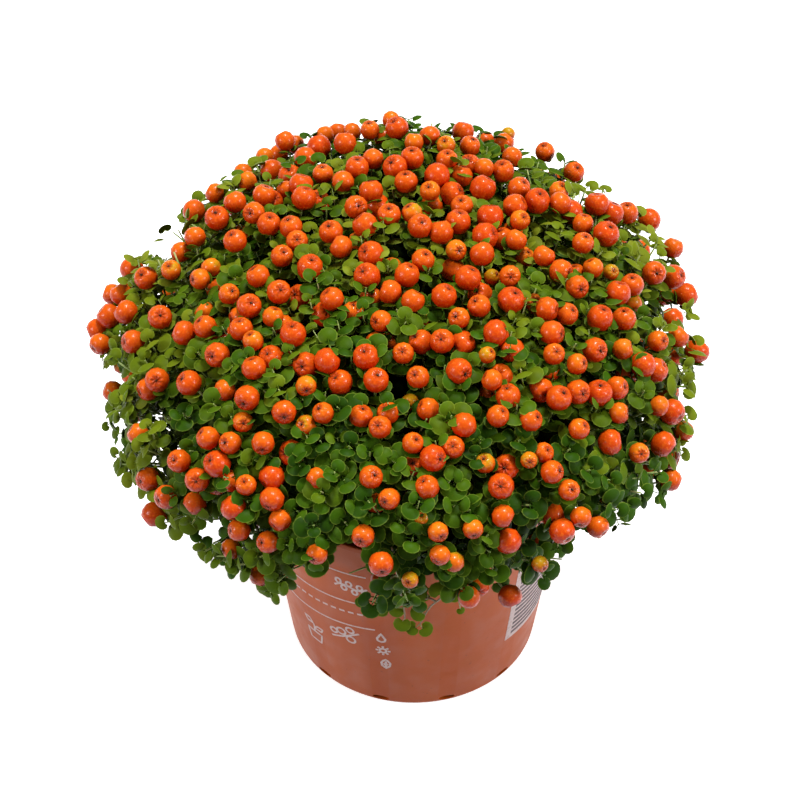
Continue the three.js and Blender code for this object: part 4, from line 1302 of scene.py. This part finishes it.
def makePlantingTree():
    tree, given = newTree("sprigsOnDome", [
        ("Geometry", "Geometry", None), ("Sprigs", "Collection", None), ("Tuft", "Int", 0),
        ("Placed", "Object", None), ("Apart", "Float", 0.007), ("Berry Gap", "Float", 0.008),
        ("Berry Density", "Float", 9000.0), ("Berry Seed", "Int", 1), ("Leaf Gap", "Float", 0.006),
        ("Leaf Density", "Float", 20000.0), ("Leaf Seed", "Int", 1), ("Clear", "Float", 0.003),
        ("Density By", "String", "leafy"), ("At Berries", "Bool", False), ("Low", "Float", -0.005),
        ("High", "Float", 0.0), ("Lean Up", "Float", 0.35), ("Stray", "Float", 0.3),
        ("Smallest", "Float", 0.85), ("Largest", "Float", 1.1), ("Top Scale", "Float", 0.86),
        ("Rim Scale", "Float", 0.98), ("Unripe Share", "Float", 0.0), ("Unripe Size", "Float", 0.66),
        ("Palest", "Float", 1.0), ("Darkest", "Float", 0.0), ("Main Finish", "Material", None),
        ("Second Finish", "Material", None), ("Second Part", "String", "stemPart")])
    berrySpots = addNode(tree, "GeometryNodeGroup", node_tree=spotsTree)
    for name in ("Geometry", "Placed", "Apart"):
        tree.links.new(given[name], berrySpots.inputs[name])
    for name in ("Gap", "Density", "Seed"):
        tree.links.new(given["Berry " + name], berrySpots.inputs[name])
    leafiness = addNode(tree, "GeometryNodeInputNamedAttribute", {"Name": given["Density By"]},
        data_type="FLOAT").outputs[0]
    scattered = addNode(tree, "GeometryNodeDistributePointsOnFaces", {
        "Mesh": given["Geometry"], "Distance Min": given["Leaf Gap"], "Density Max": given["Leaf Density"],
        "Density Factor": leafiness, "Seed": given["Leaf Seed"]}, distribute_method="POISSON")
    leafSpots = addNode(tree, "GeometryNodeStoreNamedAttribute", {
        "Geometry": scattered.outputs["Points"], "Name": "outward", "Value": scattered.outputs["Normal"]},
        data_type="FLOAT_VECTOR", domain="POINT")
    near = addNode(tree, "GeometryNodeProximity", {0: berrySpots.outputs[0]},
        target_element="POINTS").outputs["Distance"]
    tooNear = addNode(tree, "FunctionNodeCompare", {0: near, 1: given["Clear"]}, data_type="FLOAT",
        operation="LESS_THAN").outputs[0]
    apart = addNode(tree, "GeometryNodeDeleteGeometry", {
        "Geometry": leafSpots.outputs[0], "Selection": tooNear}, domain="POINT").outputs[0]
    chosen = addNode(tree, "GeometryNodeSwitch", {
        "Switch": given["At Berries"], "False": apart, "True": berrySpots.outputs[0]},
        input_type="GEOMETRY").outputs[0]
    ownTuft = addNode(tree, "GeometryNodeInputNamedAttribute", {"Name": "tuft"}, data_type="INT").outputs[0]
    foreign = addNode(tree, "FunctionNodeCompare", {2: ownTuft, 3: given["Tuft"]}, data_type="INT",
        operation="NOT_EQUAL").outputs[0]
    # what is drawn before any spot is dropped is the same for a berry and for its stalk
    luckDraw, secondLuckDraw = [
        addNode(tree, "FunctionNodeRandomValue", {2: 0.0, 3: 1.0, 8: seed}, data_type="FLOAT").outputs[1]
        for seed in (3, 4)]
    strayDraw = addNode(tree, "FunctionNodeRandomValue", {
        0: (-1, -1, -1), 1: (1, 1, 1), 8: 5}, data_type="FLOAT_VECTOR").outputs[0]
    drawn = {"luck": luckDraw, "luck2": secondLuckDraw, "strayed": strayDraw}
    for name, value in drawn.items():
        kind = "FLOAT_VECTOR" if name == "strayed" else "FLOAT"
        chosen = addNode(tree, "GeometryNodeStoreNamedAttribute", {
            "Geometry": chosen, "Name": name, "Value": value}, data_type=kind, domain="POINT").outputs[0]
    own = addNode(tree, "GeometryNodeDeleteGeometry", {
        "Geometry": chosen, "Selection": foreign}, domain="POINT").outputs[0]
    luckOut, luck2Out, isPlaced, isGreen, shade, second = [
        addNode(tree, "GeometryNodeInputNamedAttribute", {"Name": name}, data_type="FLOAT").outputs[0]
        for name in ("luck", "luck2", "placed", "green", "shade", given["Second Part"])]
    outward, stray = [
        addNode(tree, "GeometryNodeInputNamedAttribute", {"Name": name}, data_type="FLOAT_VECTOR").outputs[0]
        for name in ("outward", "strayed")]
    stand = addNode(tree, "ShaderNodeMapRange",
        {"Value": luckOut, "To Min": given["Low"], "To Max": given["High"]}).outputs[0]
    upward = addNode(tree, "ShaderNodeCombineXYZ", {2: given["Lean Up"]}).outputs[0]
    raised = addNode(tree, "ShaderNodeVectorMath", {0: outward, 1: upward}, operation="ADD").outputs[0]
    sideways = addNode(tree, "ShaderNodeVectorMath", {0: stray, "Scale": given["Stray"]},
        operation="SCALE").outputs[0]
    leaning = addNode(tree, "ShaderNodeVectorMath", {0: raised, 1: sideways}, operation="ADD").outputs[0]
    isFree = addNode(tree, "ShaderNodeMath", {0: 1.0, 1: isPlaced}, operation="SUBTRACT").outputs[0]
    shift = addNode(tree, "ShaderNodeMath", {0: stand, 1: isFree}, operation="MULTIPLY").outputs[0]
    offset = addNode(tree, "ShaderNodeVectorMath", {0: outward, "Scale": shift}, operation="SCALE").outputs[0]
    placed = addNode(tree, "GeometryNodeSetPosition", {"Geometry": own, "Offset": offset}).outputs[0]
    aligned = addNode(tree, "FunctionNodeAlignRotationToVector", {"Vector": leaning}, axis="Z").outputs[0]
    spinAngle = addNode(tree, "ShaderNodeMath", {0: luck2Out, 1: 2 * math.pi * 7},
        operation="MULTIPLY").outputs[0]
    spin = addNode(tree, "ShaderNodeCombineXYZ", {2: spinAngle}).outputs[0]
    spinTurn = addNode(tree, "FunctionNodeEulerToRotation", {0: spin}).outputs[0]
    pose = addNode(tree, "FunctionNodeRotateRotation", {0: aligned, 1: spinTurn},
        rotation_space="LOCAL").outputs[0]
    size = addNode(tree, "ShaderNodeMapRange",
        {"Value": luck2Out, "To Min": given["Smallest"], "To Max": given["Largest"]}).outputs[0]
    ripeness = addNode(tree, "ShaderNodeMath", {0: luck2Out, 1: isGreen}, operation="SUBTRACT").outputs[0]
    unripe = addNode(tree, "FunctionNodeCompare", {0: ripeness, 1: given["Unripe Share"]}, data_type="FLOAT",
        operation="LESS_THAN").outputs[0]
    byPlace = addNode(tree, "ShaderNodeMapRange",
        {"Value": shade, "To Min": given["Top Scale"], "To Max": given["Rim Scale"]}).outputs[0]
    sized = addNode(tree, "ShaderNodeMath", {0: size, 1: byPlace}, operation="MULTIPLY").outputs[0]
    scale = addNode(tree, "GeometryNodeSwitch", {
        "Switch": unripe, "False": sized, "True": given["Unripe Size"]}, input_type="FLOAT").outputs[0]
    sources = addNode(tree, "GeometryNodeCollectionInfo",
        {"Collection": given["Sprigs"], "Separate Children": True, "Reset Children": True}).outputs[0]
    which = addNode(tree, "FunctionNodeRandomValue", {4: 0, 5: 20, 8: 9}, data_type="INT").outputs[2]
    copies = addNode(tree, "GeometryNodeInstanceOnPoints", {
        "Points": placed, "Instance": sources, "Pick Instance": True, "Instance Index": which,
        "Rotation": pose, "Scale": scale}).outputs[0]
    toneDraw = addNode(tree, "FunctionNodeRandomValue", {
        2: given["Darkest"], 3: given["Palest"], 8: 11}, data_type="FLOAT").outputs[1]
    for name, value in (("tone", toneDraw), ("ripe", ripeness)):
        copies = addNode(tree, "GeometryNodeStoreNamedAttribute", {
            "Geometry": copies, "Name": name, "Value": value},
            data_type="FLOAT", domain="INSTANCE").outputs[0]
    real = addNode(tree, "GeometryNodeRealizeInstances", {"Geometry": copies}).outputs[0]
    # which way each corner faces, stored as "sky" for the berries' painted shade on their downward side
    normal = addNode(tree, "GeometryNodeInputNormal").outputs[0]
    faced = addNode(tree, "ShaderNodeSeparateXYZ", {0: normal}).outputs[2]
    sky = addNode(tree, "GeometryNodeStoreNamedAttribute", {
        "Geometry": real, "Name": "sky", "Value": faced}, data_type="FLOAT", domain="POINT").outputs[0]
    mainPainted = addNode(tree, "GeometryNodeSetMaterial",
        {"Geometry": sky, "Material": given["Main Finish"]}).outputs[0]
    isSecond = addNode(tree, "FunctionNodeCompare", {0: second, 1: 0.5}, data_type="FLOAT",
        operation="GREATER_THAN").outputs[0]
    painted = addNode(tree, "GeometryNodeSetMaterial", {
        "Geometry": mainPainted, "Selection": isSecond, "Material": given["Second Finish"]}).outputs[0]
    addNode(tree, "NodeGroupOutput", {0: painted})
    return tree


plantingTree = makePlantingTree()


def planted(name, index, atBerries, sprigs, layer, look):
    # one tuft's share of the sprigs, stalks or berries in one layer of the dome, as a plain mesh
    piece = bpy.data.objects.new(name, domeForm.copy())
    bpy.context.collection.objects.link(piece)
    values = {
        "Sprigs": sprigs, "Tuft": index, "Placed": placedSpots, "Apart": planting["apart"],
        "Berry Gap": planting["berryGap"], "Berry Density": planting["berryDensity"],
        "Berry Seed": planting["berrySeed"], "Leaf Gap": planting["leafGap"],
        "Leaf Density": planting["leafDensity"], "Leaf Seed": planting["leafSeed"],
        "Clear": planting["clear"], "At Berries": atBerries,
        "Low": planting[layer + "Low"], "High": planting[layer + "High"]}
    grow(piece, plantingTree, **{**values, **look})
    applied(piece)
    while piece.data.materials and piece.data.materials[0] is None:
        piece.data.materials.pop(index=0)    # the bare form's own empty slot
    return piece


def joined(name, pieces):
    # several pieces as one, under a new name, without the empty ones
    filled = [piece for piece in pieces if piece.data.vertices]
    for piece in pieces:
        if piece not in filled:
            bpy.data.objects.remove(piece)
    if len(filled) > 1:
        with bpy.context.temp_override(active_object=filled[0], selected_editable_objects=filled):
            bpy.ops.object.join()
    filled[0].name = name
    filled[0].data.name = name
    return filled[0]


def cleared(piece):
    # takes out each blade whose middle shows in one of the clear spots
    shape = bmesh.new()
    shape.from_mesh(piece.data)
    unseen, unwanted = set(shape.verts), []
    while unseen:
        blade = [unseen.pop()]
        for corner in blade:
            for edge in corner.link_edges:
                other = edge.other_vert(corner)
                if other in unseen:
                    unseen.discard(other)
                    blade.append(other)
        middle = sum((corner.co for corner in blade), Vector()) / len(blade)
        if inSpots(middle / mm, clearSpots):
            unwanted += blade
    bmesh.ops.delete(shape, geom=unwanted, context="VERTS")
    shape.to_mesh(piece.data)
    shape.free()
    return piece


# The mat of stems under the outer leaves, a closed sheet for each tuft, dark with painted shade.
matForm = {"depth": 22, "thinDepth": 12, "thickness": 2.5}
matSurface = makeDomeForm("matSurface", -matForm["depth"], -matForm["thinDepth"])


def makeMat(index):
    sheet = bmesh.new()
    sheet.from_mesh(matSurface)
    layer = sheet.faces.layers.int["tuft"]
    bmesh.ops.delete(sheet, geom=[face for face in sheet.faces if face[layer] != index], context="FACES")
    bmesh.ops.solidify(sheet, geom=sheet.faces[:], thickness=-matForm["thickness"] * mm)
    bmesh.ops.recalc_face_normals(sheet, faces=sheet.faces[:])
    piece = bpy.data.objects.new("mat", bpy.data.meshes.new("mat"))
    sheet.to_mesh(piece.data)
    sheet.free()
    bpy.context.collection.objects.link(piece)
    piece.data.materials.append(matFinish)
    return smooth(piece)


# Stems that hang over the rim at the sides and behind: azimuth, radii, heights and number of leaf pairs.
trails = [
    {"azimuth": 140, "start": 84, "end": 70, "top": 103, "low": 78, "pairs": 4},
    {"azimuth": 20, "start": 90, "end": 80, "top": 104, "low": 86, "pairs": 3},
    {"azimuth": 75, "start": 88, "end": 76, "top": 104, "low": 84, "pairs": 3},
    {"azimuth": 190, "start": 92, "end": 82, "top": 104, "low": 86, "pairs": 3},
]
trailForm = {
    "rootIn": 17, "kneeOut": 3, "kneeUp": 1, "radius": 0.6, "endRadius": 0.35, "steps": 10,
    "leafySteps": 6.8, "leafTurn": 40, "endLeaf": 0.6,
}
# The long spray over the pot's front. Places are a pixel, and the distance from the wall in mm.
spray = {
    "radius": 0.5, "endRadius": 0.32, "age": 0.85, "leafLean": 0.6, "petioleRadius": 0.26,
    "petioleEnd": 0.2, "petioleAge": 0.5,
    "stems": [
        [(392, 548, 34), (396, 562, 26), (398, 580, 18), (399, 592, 12), (396, 603, 9), (389, 608, 7.5)],
        [(399, 590, 12), (403, 602, 9.5), (405, 618, 7.5)],
        [(462, 556, 34), (458, 572, 26), (451, 585, 19), (441, 598, 13), (432, 605, 10), (426, 613, 8),
         (420, 624, 6.5)],
        [(451, 585, 19), (456, 592, 16), (459, 602, 11)],
        [(436, 602, 11), (428, 598, 11), (420, 603, 10)],
    ],
    # with the way the tip points, in degrees from sideways, and the size
    "leaves": [
        (381, 609, 7, 200, 0.92), (396, 611, 8.5, 250, 0.85), (402, 625, 6.5, 265, 0.92),
        (405, 600, 10, 50, 0.95), (418, 614, 8.5, 200, 0.9), (412, 629, 6, 205, 0.8),
        (426, 630, 6.5, 330, 0.85), (438, 591, 17, 100, 0.95), (423, 594, 10, 190, 0.9),
        (455, 595, 15, 0, 0.85), (461, 611, 9, 280, 0.45), (393, 588, 12.5, 140, 0.8),
        (412, 589, 12, 60, 0.85), (386, 577, 20, 170, 0.9), (404, 572, 20, 20, 0.95),
        (447, 578, 22, 160, 0.9), (465, 575, 22, 20, 0.85),
    ],
}
# The stalks from the peat up into the mat. What hangs lower than "lowestEnd" is out in the light, so its
# shade is less.
stalkForm = {
    "count": 7, "radius": 0.9, "endRadius": 0.55, "bottom": 78, "spread": 1.6, "mostTilt": 26,
    "lowestEnd": 104, "hangingShade": 0.4, "bendUp": 0.55, "bendOut": 0.15, "seed": 12,
}


def overWall(point):
    return math.hypot(point.x, point.y) - wallRadius(point.z)


def addSpray(stems):
    # smooth stems through the spray's places, and its leaves, each on a stalk from the nearest stem
    routes = []
    for places in spray["stems"]:
        corners = [sighted(x, y, overWall, distance) for x, y, distance in places]
        route = [corners[0]]
        for i, (a, b) in enumerate(zip(corners, corners[1:])):
            before, after = corners[max(i - 1, 0)], corners[min(i + 2, len(corners) - 1)]
            for t in (0.33, 0.67, 1):
                swing = (b - before) * t * (1 - t) ** 2 / 2 - (after - a) * t * t * (1 - t) / 2
                route.append(a + (b - a) * t * t * (3 - 2 * t) + swing)
        stems.stem(route, spray["radius"], spray["endRadius"], 5, spray["age"])
        routes += route
    for x, y, distance, turn, size in spray["leaves"]:
        middle = sighted(x, y, overWall, distance)
        outward, angle = Vector((middle.x, middle.y, 0)).normalized(), math.radians(turn)
        sideways = Vector((0, 0, 1)).cross(outward)
        facing = (outward + Vector((0, 0, spray["leafLean"]))).normalized()
        along = sideways * math.cos(angle) + Vector((0, 0, 1)) * math.sin(angle)
        along = (along - facing * along.dot(facing)).normalized()
        root = middle - along * leafForm["length"] * size / 2
        stems.blade(root, along, facing, size, 0.0)
        nearest = min(routes, key=lambda point: (point - root).length)
        notch = root + along * leafForm["length"] * size * leafForm["notch"]
        stems.stem([nearest, notch], spray["petioleRadius"], spray["petioleEnd"], 3, spray["petioleAge"])


def makeStems(index, draw):
    # the tuft's stalks from the peat up into its mat, its leafy shoots and its hanging stems
    tuft, stems = tufts[index], SprigMesh()
    for i in range(stalkForm["count"]):
        wander = direction(draw.uniform(0, 360), 90) * stalkForm["spread"] * draw.random()
        foot = tuft["foot"] + wander + Vector((0, 0, stalkForm["bottom"]))
        spread = direction(360 * (i + draw.random()) / stalkForm["count"], 90)
        spread = spread * math.radians(stalkForm["mostTilt"]) * draw.uniform(0.2, 1)
        end = domePoint((tuft["toward"] + spread).normalized(), -matForm["depth"] + 1)
        end.z = max(end.z, stalkForm["lowestEnd"])
        rise = Vector((0, 0, (end.z - foot.z) * stalkForm["bendUp"]))
        bend = foot + rise + (end - foot) * stalkForm["bendOut"]
        route = [foot.lerp(bend, t).lerp(bend.lerp(end, t), t) for t in (0, 0.2, 0.4, 0.6, 0.8, 1)]
        stems.stem(route, stalkForm["radius"], stalkForm["endRadius"])
    tips = [sighted(x, y, overDome, shootForm["outlineHeight"]) for x, y in shootPixels]
    tips += [sighted(x, y, overDome, shootForm["fillHeight"]) for x, y in fillPixels]
    tips += [domePoint(direction(*angles)) for angles in backShoots]
    for tip in tips:
        if tuftIndex(tip) != index:
            continue
        toward = (tip - dome["centre"]).normalized()
        axis = (domeNormal(toward) + Vector((0, 0, shootForm["leanUp"]))).normalized()
        knee = tip - axis * shootForm["knee"] + direction(draw.uniform(0, 360), 90) * shootForm["stray"]
        stems.stem([tip - axis * shootForm["length"], knee, tip], shootForm["radius"], shootForm["endRadius"])
        first = draw.uniform(0, math.pi)
        for k, (drop, scale, tilt) in enumerate(shootForm["pairs"]):
            across = axis.orthogonal().normalized()
            across.rotate(Matrix.Rotation(first + k * math.pi / 2, 3, axis))
            size, lift = scale * draw.uniform(0.9, 1.1), math.radians(tilt + draw.uniform(-10, 10))
            stems.pair(tip - axis * drop, across, axis, size, lift, 0.25 * k)
    for trail in trails:
        outward = direction(trail["azimuth"], 90)
        if tuftIndex(outward * trail["start"] + Vector((0, 0, trail["top"]))) != index:
            continue
        first = outward * (trail["start"] - trailForm["rootIn"]) + Vector((0, 0, trail["top"]))
        kneeTop = trail["top"] + trailForm["kneeUp"]
        knee = outward * (trail["start"] + trailForm["kneeOut"]) + Vector((0, 0, kneeTop))
        last = outward * trail["end"] + Vector((0, 0, trail["low"]))
        steps = trailForm["steps"]
        shares = [k / steps for k in range(steps + 1)]
        route = [first.lerp(knee, t).lerp(knee.lerp(last, t), t) for t in shares]
        stems.stem(route, trailForm["radius"], trailForm["endRadius"])
        sideways = outward.cross(Vector((0, 0, 1)))
        for k in range(trail["pairs"]):
            spot = steps - trailForm["leafySteps"] * k / trail["pairs"]
            node = route[min(steps - 1, int(spot))].lerp(route[min(steps, int(spot) + 1)], spot - int(spot))
            turn = math.radians(trailForm["leafTurn"] * (1 if k % 2 else -1) + draw.uniform(-15, 15))
            along = sideways * math.cos(turn) + Vector((0, 0, 1)) * math.sin(turn)
            size, lift = draw.uniform(0.85, 1.15), math.radians(draw.uniform(5, 30))
            stems.pair(node, along, outward, size, lift, 0.3 + 0.1 * k)
        stems.blade(route[-1], (route[-1] - route[-3]).normalized(), outward, trailForm["endLeaf"], 0)
    if tuft["name"] == "side_1":
        addSpray(stems)
    piece = stems.finished("stems")
    piece.data.materials.append(leafFinish)
    piece.data.materials.append(stemFinish)
    for polygon in piece.data.polygons:
        polygon.material_index = int(stems.isStem[polygon.vertices[0]])
    tone = [draw.random()] * len(stems.points)
    piece.data.attributes.new("tone", "FLOAT", "POINT").data.foreach_set("value", tone)
    shades = [shadeAt((Vector(point) - dome["centre"]).normalized()) for point in stems.points]
    shades = [shade * (stalkForm["hangingShade"] if point[2] < stalkForm["lowestEnd"] else 1)
              for shade, point in zip(shades, stems.points)]
    piece.data.attributes.new("shade", "FLOAT", "POINT").data.foreach_set("value", shades)
    return piece


draw = random.Random(stalkForm["seed"])
# How each kind of growth leans and strays, its sizes, tones and finishes.
leafLook = {"Lean Up": 0.55, "Stray": 0.45, "Main Finish": leafFinish, "Second Finish": stemFinish}
# the inner leaves' darker tones are painted shade for the inside of the growth
innerLook = {
    **leafLook, "Leaf Gap": planting["innerGap"], "Leaf Seed": planting["leafSeed"] + 1, "Clear": 0.0,
    "Darkest": -0.25, "Palest": 0.25, "Largest": 1.0,
}
stalkLook = {**leafLook, "Stray": 0.38}
ballLook = {
    "Stray": 0.7, "Lean Up": -0.2, "Smallest": 0.82, "Largest": 1.1, "Top Scale": 1.04, "Rim Scale": 0.95,
    "Main Finish": berryFinish, "Second Finish": calyxFinish, "Second Part": "calyxPart",
}
outerLook = {**ballLook, "Unripe Share": 0.012}
deepLook = {
    **ballLook, "Leaf Gap": planting["deepGap"], "Leaf Density": planting["deepDensity"],
    "Leaf Seed": planting["berrySeed"] + 1, "Clear": planting["deepClear"], "Density By": "rich",
}
for index, tuft in enumerate(tufts):
    leaves = planted("leaves", index, False, leafSprigs, "leaf", leafLook)
    inner = planted("innerLeaves", index, False, leafSprigs, "inner", innerLook)
    stalks = planted("stalks", index, True, berryStalks, "berry", stalkLook)
    growth = [cleared(piece) for piece in (leaves, inner, stalks, makeStems(index, draw))]
    foliage = joined("foliage_" + tuft["name"], growth + [makeMat(index)])
    outer = planted("outerBerries", index, True, berryKinds, "berry", outerLook)
    deep = planted("deepBerries", index, False, berryKinds, "deep", deepLook)
    balls = joined("berries_" + tuft["name"], [outer, deep])
    for piece in (foliage, balls):
        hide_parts("tuft_" + tuft["name"])
        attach(piece, "root")
        print(piece.name, sum(len(polygon.vertices) - 2 for polygon in piece.data.polygons), "triangles")
print("tufts planted")


# The paper floor and the lights. Lengths in metres, powers in watts; "sun" is where it shines from.
stageForm = {
    "floor": 8.0, "floorLevel": -0.0002, "floorGlow": 0.6, "horizon": 0.5, "zenith": 0.2, "nadir": 0.22,
    "target": (0, 0, 0.12), "sun": (0.14, 0.22, 1.0), "sunStrength": 3.9, "sunAngle": 14,
    "leftSoftbox": {"place": (-1.1, -0.5, 0.8), "size": 0.4, "power": 11.0},
    "rightSoftbox": {"place": (1.1, -0.45, 0.8), "size": 0.4, "power": 13.0},
}


def makeStage():
    bpy.ops.mesh.primitive_plane_add(size=stageForm["floor"], location=(0, 0, stageForm["floorLevel"]))
    floor = bpy.context.object
    floor.name = "floor"
    material, tree, shader, place = newMaterial("paperSweep")
    fibres = addNode(tree, "ShaderNodeTexNoise", {"Vector": place, "Scale": 40.0, "Detail": 3}).outputs["Fac"]
    paper = addNode(tree, "ShaderNodeValToRGB", {"Fac": fibres},
        [(0.3, "FAFAFA"), (0.7, "FDFDFD")]).outputs[0]
    fill(tree, shader, {
        "Base Color": paper, "Roughness": 0.9, "Emission Color": (1, 1, 1, 1),
        "Emission Strength": stageForm["floorGlow"]})
    # its bounce comes from the lower half of the sky instead, where it can be weaker
    floor.visible_diffuse = False
    floor.data.materials.append(material)
    world = bpy.data.worlds.new("studio")
    world.use_nodes = True
    sky = world.node_tree
    backdrop = sky.nodes["Background"]
    ahead = addNode(sky, "ShaderNodeTexCoord").outputs["Generated"]
    upward = addNode(sky, "ShaderNodeSeparateXYZ", {0: ahead}).outputs[2]
    above = addNode(sky, "ShaderNodeMapRange", {
        "Value": upward, 1: 0.0, 2: 0.5, 3: stageForm["horizon"], 4: stageForm["zenith"]}).outputs[0]
    below = addNode(sky, "ShaderNodeMapRange", {
        "Value": upward, 1: -0.3, 2: 0.0, 3: stageForm["nadir"], 4: stageForm["horizon"]}).outputs[0]
    strength = addNode(sky, "ShaderNodeMath", {0: above, 1: below}, operation="MINIMUM").outputs[0]
    sky.links.new(strength, backdrop.inputs["Strength"])
    backdrop.inputs["Color"].default_value = (1, 1, 1, 1)
    bpy.context.scene.world = world
    for name in ("leftSoftbox", "rightSoftbox"):
        softbox = stageForm[name]
        lamp = bpy.data.lights.new(name, "AREA")
        lamp.size, lamp.energy = softbox["size"], softbox["power"]
        light = bpy.data.objects.new(name, lamp)
        light.location = softbox["place"]
        toTarget = Vector(stageForm["target"]) - light.location
        light.rotation_euler = toTarget.to_track_quat("-Z", "Y").to_euler()
        bpy.context.collection.objects.link(light)
    lamp = bpy.data.lights.new("overhead", "SUN")
    lamp.energy, lamp.angle = stageForm["sunStrength"], math.radians(stageForm["sunAngle"])
    overhead = bpy.data.objects.new("overhead", lamp)
    overhead.rotation_euler = Vector(stageForm["sun"]).to_track_quat("Z", "Y").to_euler()
    bpy.context.collection.objects.link(overhead)


makeStage()

camera = bpy.data.objects.new("camera", bpy.data.cameras.new("camera"))
bpy.context.collection.objects.link(camera)
camera.location = eye * mm
camera.rotation_euler = (math.pi / 2 - viewTilt, 0, 0)
camera.data.lens = view["lens"]
camera.data.sensor_width = view["sensor"]
camera.data.clip_start = 0.01
bpy.context.scene.camera = camera
bpy.context.scene.view_settings.view_transform = "Standard"

bpy.data.objects.remove(placedSpots)
for group in (leafSprigs, berryStalks, berryKinds):
    for source in list(group.objects):
        bpy.data.objects.remove(source)
    bpy.data.collections.remove(group)
